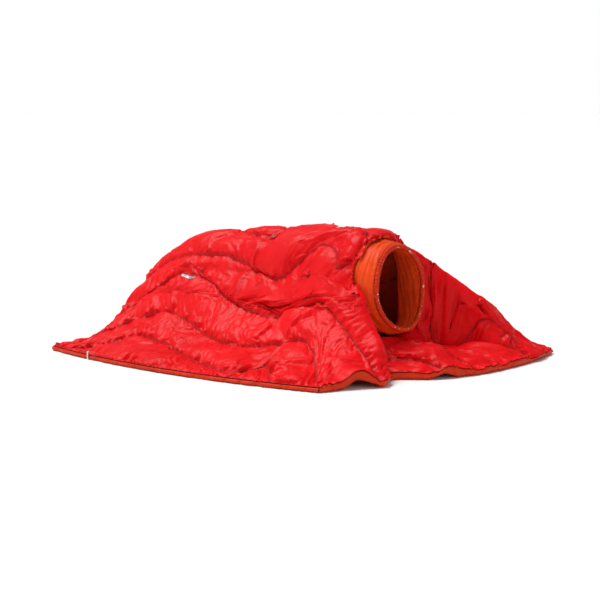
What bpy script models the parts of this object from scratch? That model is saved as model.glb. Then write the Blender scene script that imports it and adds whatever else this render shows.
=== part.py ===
"""Quilted camp blanket with a neck opening and a gathered collar, draped as worn.

The blanket is a flat rectangle of quilting: a red outer shell, padding in wavy
stitched channels and an orange lining. It hangs over a hollow, and its hem lies
on the floor. X runs from the rear hem to the front hem, Z is up, and the floor is
Z = 0. All lengths are in metres.

Every layer is built on one grid. Its columns run from side to side and its rows
follow the quilting lines, so neighbouring layers share their facets and keep an
even gap.
"""
import math

import bpy
import numpy as np
from mathutils import Vector
from mathutils.bvhtree import BVHTree

# ---------------------------------------------------------------- dimensions
FLAT_LENGTH = 0.80  # rear hem to front hem, cut size
FLAT_WIDTH = 0.76  # near hem to far hem, cut size
FABRIC = 0.0008  # a shell or lining panel, with its seam allowances
GAP = 0.0003  # between pieces that touch
LOFT = 0.0085  # half the thickness in the middle of a channel
STITCHED = 0.0010  # half the thickness where a line is stitched through
EDGE_LOFT = 0.0048  # half the thickness at the hem
FLOOR_CLEAR = 0.0002  # under the lining

# plan of the hem: corners, and how far each side bows outwards
REAR_NEAR = (-0.372, -0.246)
FRONT_NEAR = (0.244, -0.246)
FRONT_FAR = (0.330, 0.300)
REAR_FAR = (-0.350, 0.255)
BOW_NEAR = 0.036
BOW_FAR = 0.030
BOW_REAR = 0.015
BOW_FRONT = 0.046

# what the blanket lies over, station by station along X:
# crest height, crest Y, and per side the share of the way to the hem at which
# the drape has fallen to half height, with the power of its fall
STATION_X = (-0.380, -0.350, -0.315, -0.270, -0.200, -0.080, 0.040, 0.130, 0.180, 0.220, 0.300, 0.360)
CREST_Z = (0.042, 0.083, 0.131, 0.165, 0.192, 0.208, 0.216, 0.218, 0.211, 0.186, 0.127, 0.082)
CREST_Y = (0.000, 0.000, 0.000, 0.000, 0.010, 0.020, 0.020, 0.010, 0.010, 0.010, 0.020, 0.020)
NEAR_HALF = (0.56, 0.54, 0.48, 0.43, 0.40, 0.38, 0.38, 0.40, 0.40, 0.40, 0.44, 0.50)
NEAR_POWER = (2.6, 2.6, 2.6, 2.6, 2.8, 3.0, 3.0, 3.0, 2.8, 2.6, 2.4, 2.4)
FAR_HALF = (0.50, 0.50, 0.48, 0.45, 0.44, 0.44, 0.48, 0.58, 0.66, 0.70, 0.74, 0.74)
FAR_POWER = 2.6
REAR_RISE = 0.060
FRONT_FALL = 0.055

# where the raised drape ends in front: the neck and the edges of the two flaps
BROW_Y = (-0.30, -0.20, -0.135, -0.110, -0.082, -0.062, 0.010, 0.085, 0.115, 0.160, 0.22, 0.30)
BROW_X = (0.400, 0.360, 0.292, 0.234, 0.186, 0.160, 0.168, 0.162, 0.190, 0.270, 0.36, 0.42)
BROW_DROP = 0.030  # the drop takes this much X
LEG_HEIGHT = 0.034  # swelling in the front piece
LEG_Y = 0.005
LEG_HALF_WIDTH = 0.055

# quilting
LINES = 8
FIRST_LINE = 0.058  # from the near hem, flat
PITCH = 0.086
WAVE = 0.028  # half of a wave's height
WAVE_LENGTH = 0.290
WAVE_START = -0.105
WAVE_LEAN = 0.33  # crests move to the rear by this share of the way across
DROOP = 0.12  # how far the near lines turn down to the front corner
DROOP_X = 0.070
DROOP_RUN = 0.20
GROOVE = 0.0016  # half the width of a stitched line
THREAD = 0.0006
STITCH_LIFT = 0.0005  # thread over the shell
LEAST_LINE_GAP = 0.014  # between lines that crowd together at a hem

# neck opening: the ring where shell and collar meet
NECK_Y = 0.010
NECK_Z = 0.127
NECK_HALF_Y = 0.076
NECK_HALF_Z = 0.084
NECK_TOP_X = 0.168
NECK_SIDE_X = 0.158
NECK_BOTTOM_X = 0.190

# collar
COLLAR_Z = 0.1345
COLLAR_HALF_Y = 0.0695
COLLAR_HALF_Z = 0.0735
COLLAR_MOUTH_SHARE = 0.93  # the mouth's radii, as a share of the base's
COLLAR_TOP_X = 0.196
COLLAR_SIDE_X = 0.204
COLLAR_BOTTOM_X = 0.217
COLLAR_SWELL = 0.004
COLLAR_LOFT = 0.0042
CASING_RADIUS = 0.0046
ELASTIC_RADIUS = 0.0022

# trims
BAND = 0.0012
LIES_FLAT = 0.0015  # a hem lower than this lies on the floor
SNAP_AT = (-0.040, -0.022)
SNAP_RADIUS = 0.0078
LABEL_AT = (0.098, 0.004)
LABEL_SIZE = (0.016, 0.030)
MARK_AT = (-0.193, -0.080)
MARK_SIZE = (0.036, 0.0065)
TAB_X = -0.250
TAB_WIDTH = 0.0032

# grid
REAR_COLUMNS = 15
NECK_COLUMNS = 5
FRONT_COLUMNS = 4
COLLAR_SIDES = 28


# ---------------------------------------------------------------- curves
def ease(u):
    """0 to 1 with level ends."""
    u = np.clip(u, 0.0, 1.0)
    return u * u * (3 - 2 * u)


def through(x, xs, ys):
    """A curve through the points that never overshoots them."""
    xs = np.asarray(xs, float)
    ys = np.asarray(ys, float)
    rise = np.diff(ys) / np.diff(xs)
    slope = np.zeros(len(xs))
    slope[0] = rise[0]
    slope[-1] = rise[-1]
    for k in range(1, len(xs) - 1):
        if rise[k - 1] * rise[k] > 0:
            slope[k] = 2 * rise[k - 1] * rise[k] / (rise[k - 1] + rise[k])
    x = np.clip(x, xs[0], xs[-1])
    i = np.clip(np.searchsorted(xs, x) - 1, 0, len(xs) - 2)
    wide = xs[i + 1] - xs[i]
    u = (x - xs[i]) / wide
    return (
        (2 * u**3 - 3 * u**2 + 1) * ys[i]
        + (u**3 - 2 * u**2 + u) * wide * slope[i]
        + (3 * u**2 - 2 * u**3) * ys[i + 1]
        + (u**3 - u**2) * wide * slope[i + 1]
    )


# ---------------------------------------------------------------- hem and drape
def hem_share(v, low, high):
    return np.clip((v - low) / (high - low), 0, 1)


def near_hem(x):
    a = hem_share(x, REAR_NEAR[0], FRONT_NEAR[0])
    return REAR_NEAR[1] * (1 - a) + FRONT_NEAR[1] * a - BOW_NEAR * 4 * a * (1 - a)


def far_hem(x):
    a = hem_share(x, REAR_FAR[0], FRONT_FAR[0])
    return REAR_FAR[1] * (1 - a) + FRONT_FAR[1] * a + BOW_FAR * 4 * a * (1 - a)


def rear_hem(y):
    b = hem_share(y, REAR_NEAR[1], REAR_FAR[1])
    return REAR_NEAR[0] * (1 - b) + REAR_FAR[0] * b - BOW_REAR * 4 * b * (1 - b)


def front_hem(y):
    b = hem_share(y, FRONT_NEAR[1], FRONT_FAR[1])
    return FRONT_NEAR[0] * (1 - b) + FRONT_FAR[0] * b + BOW_FRONT * 4 * b * (1 - b)


def raised(x, y):
    """Height of the drape over the body and out to the near and far hems."""
    crest_y = through(x, STATION_X, CREST_Y)
    aside = y - crest_y
    near = aside < 0
    reach = np.where(near, crest_y - near_hem(x), far_hem(x) - crest_y)
    share = np.clip(np.abs(aside) / reach, 0, 1)
    half = np.where(near, through(x, STATION_X, NEAR_HALF), through(x, STATION_X, FAR_HALF))
    power = np.where(near, through(x, STATION_X, NEAR_POWER), FAR_POWER)
    bell = 1 / (1 + (share / half) ** power)
    foot = 1 / (1 + (1 / half) ** power)
    height = through(x, STATION_X, CREST_Z) * (bell - foot) / (1 - foot)
    height = height * ease((front_hem(y) - x) / FRONT_FALL) ** 0.6
    return height * ease((x - rear_hem(y)) / REAR_RISE) ** 0.7


def front_piece(x, y):
    """Height of the part that lies in front of the neck."""
    in_from_hem = front_hem(y) - x
    legs = LEG_HEIGHT * np.exp(-(((y - LEG_Y) / LEG_HALF_WIDTH) ** 2))
    side = 0.012 * np.exp(-(((y - 0.14) / 0.09) ** 2))
    return 0.004 * ease(in_from_hem / 0.03) + (legs + side) * ease(in_from_hem / 0.07)


def drape(x, y):
    """Height of the middle of the blanket over the floor, without its thickness."""
    past = ease((x - through(y, BROW_Y, BROW_X) + 0.004) / BROW_DROP)
    return raised(x, y) * (1 - past) + front_piece(x, y) * past


def plan(a, b):
    """Place on the floor for shares a, rear to front, and b, near to far."""
    corner = {k: np.array(v) for k, v in zip("LNRB", (REAR_NEAR, FRONT_NEAR, FRONT_FAR, REAR_FAR))}

    def side(p, q, t, bow, way):
        t = t[..., None]
        return p * (1 - t) + q * t + np.array(way) * bow * 4 * t * (1 - t)

    near = side(corner["L"], corner["N"], a, BOW_NEAR, (0, -1))
    far = side(corner["B"], corner["R"], a, BOW_FAR, (0, 1))
    rear = side(corner["L"], corner["B"], b, BOW_REAR, (-1, 0))
    front = side(corner["N"], corner["R"], b, BOW_FRONT, (1, 0))
    a = a[..., None]
    b = b[..., None]
    corners = (
        corner["L"] * (1 - a) * (1 - b)
        + corner["N"] * a * (1 - b)
        + corner["B"] * (1 - a) * b
        + corner["R"] * a * b
    )
    return near * (1 - b) + far * b + rear * (1 - a) + front * a - corners


def lifted(a, b):
    xy = plan(a, b)
    return np.concatenate([xy, drape(xy[..., 0], xy[..., 1])[..., None]], -1)


def evened(points, share):
    """Respace share along axis 0 so that steps over the surface are equal."""
    step = np.linalg.norm(np.diff(points, axis=0), axis=-1)
    along = np.concatenate([np.zeros((1, points.shape[1])), np.cumsum(step, 0)])
    new = np.empty_like(share)
    for j in range(share.shape[1]):
        new[:, j] = np.interp(np.linspace(0, along[-1, j], len(along)), along[:, j], share[:, j])
    for _ in range(6):
        pad = np.pad(new, ((0, 0), (2, 2)), mode="edge")
        blur = sum(w * pad[:, k : k + new.shape[1]] for k, w in enumerate((1, 4, 6, 4, 1))) / 16
        new[:, 1:-1] = blur[:, 1:-1]
    return new


def flat_map():
    """Plan shares for an even grid over the cloth."""
    a, b = np.meshgrid(np.linspace(0, 1, 261), np.linspace(0, 1, 241), indexing="ij")
    for _ in range(3):
        a = evened(lifted(a, b), a)
        b = evened(lifted(a, b).swapaxes(0, 1), b.T).T
    return a, b


SHARE_A, SHARE_B = flat_map()


def spot(s, t):
    """Point of the drape at cloth shares s, rear to front, and t, near to far."""
    rows, cols = SHARE_A.shape
    u = np.clip(s, 0, 1) * (rows - 1)
    v = np.clip(t, 0, 1) * (cols - 1)
    i = np.clip(u.astype(int), 0, rows - 2)
    j = np.clip(v.astype(int), 0, cols - 2)
    u = u - i
    v = v - j

    def read(table):
        low = table[i, j] * (1 - v) + table[i, j + 1] * v
        high = table[i + 1, j] * (1 - v) + table[i + 1, j + 1] * v
        return low * (1 - u) + high * u

    return lifted(read(SHARE_A), read(SHARE_B))


# ---------------------------------------------------------------- quilting lines
NECK_T = (FIRST_LINE + 4 * PITCH) / FLAT_WIDTH  # line 4 meets the middle of the neck
NECK_HALF_T = PITCH / FLAT_WIDTH


def neck_share():
    """Cloth share along the length at which the drape passes the neck's middle."""
    s = np.linspace(0.4, 1, 601)
    p = spot(s, np.full_like(s, NECK_T))
    return s[np.argmin(np.abs(p[:, 2] - NECK_Z) + (p[:, 0] < 0.1))]


NECK_S = neck_share()
NECK_HALF_S = 0.088 / FLAT_LENGTH


def line_t(k, s):
    """Cloth share across at which line k runs, for shares s along the length."""
    flat = FIRST_LINE + k * PITCH
    t = np.full_like(s, flat / FLAT_WIDTH)
    for _ in range(3):
        x = spot(s, t)[:, 0]
        u = (x - WAVE_START + WAVE_LEAN * min(flat, 0.38)) / WAVE_LENGTH
        wave = WAVE * np.cos(2 * np.pi * u)
        if 3 <= k <= 5:
            wave = wave * (1 - ease((s - NECK_S + 2.2 * NECK_HALF_S) / NECK_HALF_S))
        droop = DROOP * ease((x - DROOP_X) / DROOP_RUN) * ease((0.33 - flat) / 0.16)
        t = (flat + wave - droop) / FLAT_WIDTH
        low = (k + 1) * LEAST_LINE_GAP / FLAT_WIDTH
        high = 1 - (LINES - k) * LEAST_LINE_GAP / FLAT_WIDTH
        t = np.clip(t, low, high)
    return t


COLUMN_S = np.concatenate(
    [
        np.linspace(0, NECK_S - NECK_HALF_S, REAR_COLUMNS + 1)[:-1],
        np.linspace(NECK_S - NECK_HALF_S, NECK_S + NECK_HALF_S, NECK_COLUMNS + 1),
        np.linspace(NECK_S + NECK_HALF_S, 1, FRONT_COLUMNS + 1)[1:],
    ]
)
NECK_FIRST = REAR_COLUMNS
NECK_LAST = REAR_COLUMNS + NECK_COLUMNS
LAST_COLUMN = len(COLUMN_S) - 1


def guide_table():
    """Cloth share across for each column and guide: hem, middle, line, ..., hem."""
    line = [line_t(k, COLUMN_S) for k in range(LINES)]
    edges = [np.zeros_like(COLUMN_S), *line, np.ones_like(COLUMN_S)]
    guides = [edges[0]]
    for low, high in zip(edges, edges[1:]):
        guides += [(low + high) / 2, high]
    return np.stack(guides, 1)


GUIDE_T = guide_table()
NECK_GUIDE_FIRST = 2 * 3 + 2  # line 3
NECK_GUIDE_LAST = 2 * 5 + 2  # line 5
NECK_ROW_FIRST = 3 * 4  # the row just past line 3
NECK_ROW_LAST = 3 * 5 + 2  # the row just before line 5
LAST_ROW = 3 * LINES + 2


# ---------------------------------------------------------------- neck ring
def ring(along, across):
    """Point of the neck ring in the direction given on the flat cloth."""
    long = np.hypot(along, across)
    down = along / long
    aside = across / long
    x = np.where(
        down < 0,
        NECK_SIDE_X + (NECK_TOP_X - NECK_SIDE_X) * down**2,
        NECK_SIDE_X + (NECK_BOTTOM_X - NECK_SIDE_X) * down**2,
    )
    return np.stack([x, NECK_Y + NECK_HALF_Y * aside, NECK_Z - NECK_HALF_Z * down], -1)


def to_ring(s, t, points):
    """Points moved so that the square left out for the neck becomes the ring."""
    along = (s - NECK_S) / NECK_HALF_S
    across = (t - NECK_T) / NECK_HALF_T
    out = np.maximum(np.maximum(np.abs(along), np.abs(across)), 1e-6)
    share = (1 - ease((out - 1) / 1.3)) * (out > 0.999)
    edge = spot(NECK_S + along / out * NECK_HALF_S, NECK_T + across / out * NECK_HALF_T)
    shift = ring(along, across) - edge
    return points + shift * share[..., None]


# ---------------------------------------------------------------- the grid
def in_neck(i, j):
    """Whether the cell from (i, j) to (i + 1, j + 1) is left out for the neck."""
    return NECK_FIRST <= i < NECK_LAST and NECK_ROW_FIRST <= j < NECK_ROW_LAST


def relaxed(values, passes, fixed):
    """Each value moved halfway to the mean of its four neighbours."""
    for _ in range(passes):
        pad = np.pad(values, ((1, 1), (1, 1), (0, 0)), mode="edge")
        mean = (pad[:-2, 1:-1] + pad[2:, 1:-1] + pad[1:-1, :-2] + pad[1:-1, 2:]) / 4
        values = np.where(fixed[..., None], values, (values + mean) / 2)
    return values


def guides():
    """The guides' points and the way out of the cloth at each."""
    s = np.repeat(COLUMN_S[:, None], GUIDE_T.shape[1], 1)
    fixed = np.zeros(s.shape, bool)
    fixed[0] = fixed[-1] = True
    fixed[:, 0] = fixed[:, -1] = True
    fixed[NECK_FIRST : NECK_LAST + 1, NECK_GUIDE_FIRST : NECK_GUIDE_LAST + 1] = True
    points = relaxed(to_ring(s, GUIDE_T, spot(s, GUIDE_T)), 3, fixed)
    out = np.cross(np.gradient(points, axis=0), np.gradient(points, axis=1))
    out /= np.linalg.norm(out, axis=-1, keepdims=True)
    out = relaxed(out, 3, np.zeros(s.shape, bool))
    return points, out / np.linalg.norm(out, axis=-1, keepdims=True)


def grid():
    """Middle points, ways out and half thicknesses: three rows to a channel."""
    points, out = guides()
    rows = []
    for channel in range(LINES + 1):
        low = 2 * channel
        middle = low + 1
        high = low + 2
        for guide in (low, middle, high):
            at_hem = guide in (0, 2 * LINES + 2)
            reach = np.linalg.norm(points[:, middle] - points[:, guide], axis=-1)
            share = np.zeros(len(points))
            if guide != middle and not at_hem:
                share = np.minimum(GROOVE / np.maximum(reach, 1e-6), 0.3)
            share = share[:, None]
            wide = np.linalg.norm(points[:, high] - points[:, low], axis=-1)
            if guide == middle:
                half = np.minimum(LOFT, STITCHED + 0.18 * wide)
            else:
                half = np.full(len(points), EDGE_LOFT if at_hem else STITCHED)
            half[[0, -1]] = np.minimum(half[[0, -1]], EDGE_LOFT)
            rows.append(
                (
                    points[:, guide] * (1 - share) + points[:, middle] * share,
                    out[:, guide] * (1 - share) + out[:, middle] * share,
                    half,
                )
            )
    points, out, half = (np.stack([row[k] for row in rows], 1) for k in range(3))
    half[NECK_FIRST : NECK_LAST + 1, NECK_ROW_FIRST : NECK_ROW_LAST + 1] = 0.0015
    before = half[NECK_LAST + 1, NECK_ROW_FIRST:NECK_ROW_LAST]
    half[NECK_LAST + 1, NECK_ROW_FIRST:NECK_ROW_LAST] = np.minimum(before, 0.0045)
    points[..., 2] += half + FABRIC + FLOOR_CLEAR
    return points, out / np.linalg.norm(out, axis=-1, keepdims=True), half


MIDDLE, NORMAL, HALF = grid()
SHELL_IN = MIDDLE + NORMAL * HALF[..., None]
SHELL_OUT = MIDDLE + NORMAL * (HALF + FABRIC)[..., None]
LINING_IN = MIDDLE - NORMAL * HALF[..., None]
LINING_OUT = MIDDLE - NORMAL * (HALF + FABRIC)[..., None]
FILL_OUT = MIDDLE + NORMAL * (HALF - GAP)[..., None]
FILL_IN = MIDDLE - NORMAL * (HALF - GAP)[..., None]
STITCH_IN = MIDDLE + NORMAL * (HALF + FABRIC + STITCH_LIFT)[..., None]
STITCH_OUT = MIDDLE + NORMAL * (HALF + FABRIC + STITCH_LIFT + THREAD)[..., None]


# ---------------------------------------------------------------- objects
def material(name, colour, roughness, metallic=0.0):
    mat = bpy.data.materials.new(name)
    mat.use_nodes = True
    shader = mat.node_tree.nodes["Principled BSDF"]
    shader.inputs["Base Color"].default_value = (*colour, 1)
    shader.inputs["Roughness"].default_value = roughness
    shader.inputs["Metallic"].default_value = metallic
    mat.diffuse_color = (*colour, 1)
    return mat


def put(name, points, faces, colour, roughness, metallic=0.0):
    mesh = bpy.data.meshes.new(name)
    mesh.from_pydata([tuple(map(float, p)) for p in points], [], faces)
    mesh.update()
    obj = bpy.data.objects.new(name, mesh)
    mesh.materials.append(material(name, colour, roughness, metallic))
    bpy.context.scene.collection.objects.link(obj)
    return obj


def slab(name, lower, upper, cells, colour, roughness, round_trip=0):
    """A closed solid between two levels of a grid, over the given cells.

    With round_trip columns, the last column joins the first.
    """
    index = {}
    points = []
    faces = []

    def turn(i):
        return i % round_trip if round_trip else i

    def corner(side, i, j):
        key = (side, turn(i), j)
        if key not in index:
            index[key] = len(points)
            points.append((upper if side else lower)[turn(i), j])
        return index[key]

    cells = set(cells)
    for i, j in sorted(cells):
        for side in (0, 1):
            p = [corner(side, i + di, j + dj) for di, dj in ((0, 0), (1, 0), (1, 1), (0, 1))]
            tris = [(p[0], p[1], p[2]), (p[0], p[2], p[3])]
            faces += tris if side else [t[::-1] for t in tris]
        walls = (
            ((i, j - 1), (i, j), (i + 1, j)),
            ((turn(i + 1), j), (i + 1, j), (i + 1, j + 1)),
            ((i, j + 1), (i + 1, j + 1), (i, j + 1)),
            ((turn(i - 1), j), (i, j + 1), (i, j)),
        )
        for beyond, a, b in walls:
            if beyond not in cells:
                low = [corner(0, *a), corner(0, *b)]
                high = [corner(1, *a), corner(1, *b)]
                faces += [(low[0], low[1], high[1]), (low[0], high[1], high[0])]
    return put(name, points, faces, colour, roughness)


def cells_of(first_row, last_row, first=0, last=LAST_COLUMN):
    found = [(i, j) for i in range(first, last) for j in range(first_row, last_row)]
    return [(i, j) for i, j in found if not in_neck(i, j)]


def swept(name, sections, colour, roughness, closed=True):
    """A solid along a row of sections, each the same number of points in a loop."""
    count = len(sections[0])
    points = [p for section in sections for p in section]
    faces = []
    steps = len(sections) if closed else len(sections) - 1
    for k in range(steps):
        a = k * count
        b = (k + 1) % len(sections) * count
        for m in range(count):
            n = (m + 1) % count
            faces += [(a + m, b + m, b + n), (a + m, b + n, a + n)]
    if not closed:
        last = (len(sections) - 1) * count
        faces += [(0, m, m + 1) for m in range(1, count - 1)]
        faces += [(last, last + m + 1, last + m) for m in range(1, count - 1)]
    return put(name, points, faces, colour, roughness)


RED = (0.78, 0.012, 0.02)
ORANGE = (0.85, 0.11, 0.02)
WHITE = (0.85, 0.83, 0.78)


def quilting():
    slab("shell_outer", SHELL_IN, SHELL_OUT, cells_of(0, LAST_ROW), RED, 0.42)
    slab("lining", LINING_OUT, LINING_IN, cells_of(0, LAST_ROW), ORANGE, 0.5)
    for channel in range(LINES + 1):
        rows = (3 * channel, 3 * channel + 2)
        if channel in (4, 5):
            parts = (("rear", 0, NECK_FIRST), ("front", NECK_LAST, LAST_COLUMN))
        else:
            parts = (("", 0, LAST_COLUMN),)
        for part, first, last in parts:
            name = f"fill_channel_{channel + 1}" + (f"_{part}" if part else "")
            slab(name, FILL_IN, FILL_OUT, cells_of(*rows, first, last), WHITE, 0.9)
    for k in range(LINES):
        rows = (3 * k + 2, 3 * k + 3)
        parts = (("", 0, LAST_COLUMN),)
        if k == 4:
            parts = (("rear", 0, NECK_FIRST), ("front", NECK_LAST, LAST_COLUMN))
        for part, first, last in parts:
            name = f"quilt_stitch_{k + 1}" + (f"_{part}" if part else "")
            slab(name, STITCH_IN, STITCH_OUT, cells_of(*rows, first, last), RED, 0.6)


def hem_bands():
    """An orange facing along each side, standing just outside the quilting's edge."""
    last_row = LAST_ROW
    sides = {
        "near": [(i, 0) for i in range(LAST_COLUMN + 1)],
        "front": [(LAST_COLUMN, j) for j in range(last_row + 1)],
        "far": [(i, last_row) for i in range(LAST_COLUMN, -1, -1)],
        "rear": [(0, j) for j in range(last_row, -1, -1)],
    }
    for name, places in sides.items():
        low = np.array([LINING_OUT[p] for p in places])
        high = np.array([SHELL_OUT[p] for p in places])
        line = (low + high) / 2
        way = np.gradient(line[:, :2], axis=0)
        way /= np.linalg.norm(way, axis=1, keepdims=True)
        out = np.stack([way[:, 1], -way[:, 0], np.zeros(len(way))], -1)
        along = np.stack([way[:, 0], way[:, 1], np.zeros(len(way))], -1)
        # the furthest of the two layers sets the inner face, so that it stands clear
        lean = ((high - low) * out).sum(1, keepdims=True)
        low_face = low + out * (np.maximum(lean, 0) + 0.0005)
        high_face = high + out * (np.maximum(-lean, 0) + 0.0005)
        for face in (low_face, high_face):
            face[0] += along[0] * 0.0008
            face[-1] -= along[-1] * 0.0008
        on_floor = low_face[:, 2] < LIES_FLAT
        low_face[:, 2] = np.where(on_floor, 0, low_face[:, 2] - FLOOR_CLEAR)
        sections = [
            [a, a + o * BAND, b + o * BAND, b] for a, b, o in zip(low_face, high_face, out)
        ]
        swept(f"hem_facing_{name}", sections, ORANGE, 0.5, closed=False)


def collar_point(turn, w, out):
    """Point of the collar: turn about the neck, w from base to mouth, out from middle."""
    down = -math.cos(turn)
    aside = math.sin(turn)
    base = ring(np.array(down), np.array(aside))
    end = COLLAR_TOP_X if down < 0 else COLLAR_BOTTOM_X
    mouth_x = COLLAR_SIDE_X + (end - COLLAR_SIDE_X) * down**2
    start_x = base[0] + 0.004
    x = start_x + (mouth_x - start_x) * w
    swell = COLLAR_SWELL * math.sin(math.pi * w)
    share = 1 + (COLLAR_MOUTH_SHARE - 1) * w
    return Vector(
        (
            x,
            NECK_Y + (COLLAR_HALF_Y * share + swell + out) * aside,
            COLLAR_Z - (COLLAR_HALF_Z * share + swell + out) * down,
        )
    )


def collar():
    stations = ((0.0, 0.0012), (0.35, COLLAR_LOFT), (0.7, COLLAR_LOFT), (1.0, 0.0018))
    turns = [2 * math.pi * k / COLLAR_SIDES for k in range(COLLAR_SIDES)]

    cells = [(i, j) for i in range(COLLAR_SIDES) for j in range(len(stations) - 1)]

    def layer(name, inner, outer, colour, roughness):
        levels = [
            np.array([[collar_point(-turn, w, out(h)) for w, h in stations] for turn in turns])
            for out in (inner, outer)
        ]
        slab(name, *levels, cells, colour, roughness, round_trip=COLLAR_SIDES)

    layer("collar_outer", lambda h: h + GAP, lambda h: h + GAP + FABRIC, ORANGE, 0.45)
    layer("collar_fill", lambda h: -h, lambda h: h, WHITE, 0.9)
    layer("collar_lining", lambda h: -h - GAP - FABRIC, lambda h: -h - GAP, ORANGE, 0.5)

    # the casing is a tube folded round the elastic, open on the collar's side
    casing = []
    elastic = []
    for turn in turns:
        mouth = collar_point(turn, 1.0, 0)
        out = (collar_point(turn, 1.0, 0.01) - mouth).normalized()
        ahead = Vector((1, 0, 0))
        centre = mouth + ahead * (CASING_RADIUS + 0.0008)
        loop = []
        for radius, angles in ((CASING_RADIUS, range(7)), (CASING_RADIUS - FABRIC, range(6, -1, -1))):
            for m in angles:
                angle = math.radians(-150 + 50 * m)
                loop.append(centre + ahead * radius * math.cos(angle) + out * radius * math.sin(angle))
        casing.append(loop)
        ring_loop = []
        for m in range(6):
            angle = math.radians(60 * m)
            ring_loop.append(
                centre
                + ahead * ELASTIC_RADIUS * math.cos(angle)
                + out * ELASTIC_RADIUS * math.sin(angle)
            )
        elastic.append(ring_loop)
    swept("collar_casing", casing, ORANGE, 0.5)
    swept("collar_elastic", elastic, (0.8, 0.8, 0.8), 0.7)


def tree_of(*names):
    """The surfaces of these pieces together, for finding what lies under a trim."""
    points = []
    faces = []
    for name in names:
        mesh = bpy.data.objects[name].data
        first = len(points)
        points += [v.co.copy() for v in mesh.vertices]
        faces += [tuple(first + v for v in p.vertices) for p in mesh.polygons]
    return BVHTree.FromPolygons(points, faces)


def outside():
    """Everything that a trim on the shell can lie on."""
    stitches = [obj.name for obj in bpy.data.objects if obj.name.startswith("quilt_stitch")]
    return tree_of("shell_outer", *stitches)


def frame_at(tree, x, y):
    """Place and axes on top of a layer: centre, along, across, out."""
    centre, out, _, _ = tree.ray_cast(Vector((x, y, 1)), Vector((0, 0, -1)))
    along = Vector((1, 0, 0))
    along = (along - out * along.dot(out)).normalized()
    return centre, along, out.cross(along), out


def patch(name, tree, at, size, thick, colour, roughness, steps=(6, 2)):
    """A thin piece sewn on the shell, following its surface."""
    centre, along, across, out = frame_at(tree, *at)
    low = []
    for i in range(steps[0] + 1):
        for j in range(steps[1] + 1):
            place = centre + along * size[0] * (i / steps[0] - 0.5) + across * size[1] * (j / steps[1] - 0.5)
            hit = tree.ray_cast(place + out * 0.03, -out)[0]
            low.append(hit + out * 0.0016)
    count = steps[1] + 1
    points = low + [p + out * thick for p in low]
    shift = len(low)
    faces = []
    for i in range(steps[0]):
        for j in range(steps[1]):
            p = [i * count + j, (i + 1) * count + j, (i + 1) * count + j + 1, i * count + j + 1]
            faces += [(p[2], p[1], p[0]), (p[3], p[2], p[0])]
            q = [n + shift for n in p]
            faces += [(q[0], q[1], q[2]), (q[0], q[2], q[3])]
    rim = [(i, 0) for i in range(steps[0])] + [(steps[0], j) for j in range(steps[1])]
    rim += [(i, steps[1]) for i in range(steps[0], 0, -1)] + [(0, j) for j in range(steps[1], 0, -1)]
    rim = [i * count + j for i, j in rim]
    for a, b in zip(rim, rim[1:] + rim[:1]):
        faces += [(a, b, b + shift), (a, b + shift, a + shift)]
    return put(name, points, faces, colour, roughness)


def turned(name, centre, along, across, out, profile, sides, colour, roughness, metallic=0.0):
    """A solid of revolution: profile is (radius, height) from its foot to its top."""
    points = []
    faces = []
    for radius, height in profile:
        for m in range(sides):
            angle = 2 * math.pi * m / sides
            points.append(
                centre + along * radius * math.cos(angle) + across * radius * math.sin(angle) + out * height
            )
    for k in range(len(profile) - 1):
        for m in range(sides):
            n = (m + 1) % sides
            a = k * sides
            b = a + sides
            faces += [(a + m, a + n, b + n), (a + m, b + n, b + m)]
    top = (len(profile) - 1) * sides
    faces.append(tuple(range(sides - 1, -1, -1)))
    faces.append(tuple(top + m for m in range(sides)))
    return put(name, points, faces, colour, roughness, metallic)


def snap():
    """A press stud: its cap on the shell and its socket under the lining."""
    for name, layer, side, profile in (
        ("snap_cap", "shell_outer", 1, ((0.92, 0.0), (1.0, 0.0008), (0.86, 0.0021), (0.45, 0.0017))),
        ("snap_socket", "lining", -1, ((0.80, 0.0), (0.86, 0.0010), (0.60, 0.0022), (0.40, 0.0022))),
    ):
        tree = outside() if side > 0 else tree_of(layer)
        if side > 0:
            centre, along, across, out = frame_at(tree, *SNAP_AT)
        else:
            centre, out, _, _ = tree.ray_cast(Vector((*SNAP_AT, 0.0)), Vector((0, 0, 1)))
            along = Vector((1, 0, 0))
            along = (along - out * along.dot(out)).normalized()
            across = out.cross(along)
        highest = -1.0
        for m in range(24):
            for share in (0.35, 0.7, 1.0):
                angle = 2 * math.pi * m / 24
                reach = SNAP_RADIUS * share
                place = centre + along * reach * math.cos(angle) + across * reach * math.sin(angle)
                hit = tree.ray_cast(place + out * 0.02, -out)[0]
                highest = max(highest, (hit - centre).dot(out))
        foot = centre + out * (highest + GAP)
        profile = [(r * SNAP_RADIUS, z) for r, z in profile]
        colour = RED if side > 0 else (0.6, 0.6, 0.6)
        turned(name, foot, along, across, out, profile, 20, colour, 0.35)


def hem_tab():
    """A folded size tab sewn to the near hem."""
    foot, out, _, _ = tree_of("hem_facing_near").ray_cast(Vector((TAB_X, -1, 0.006)), Vector((0, 1, 0)))
    out = Vector((out.x, out.y, 0)).normalized()
    along = Vector((-out.y, out.x, 0))
    foot.z = 0
    box = [
        foot + out * away + along * side * TAB_WIDTH / 2 + Vector((0, 0, z))
        for z in (0.0010, 0.0150)
        for away, side in ((0.0016, -1), (0.0016, 1), (0.0004, 1), (0.0004, -1))
    ]
    faces = [(3, 2, 1, 0), (4, 5, 6, 7), (0, 1, 5, 4), (1, 2, 6, 5), (2, 3, 7, 6), (3, 0, 4, 7)]
    put("hem_tab", box, faces, WHITE, 0.7)


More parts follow.
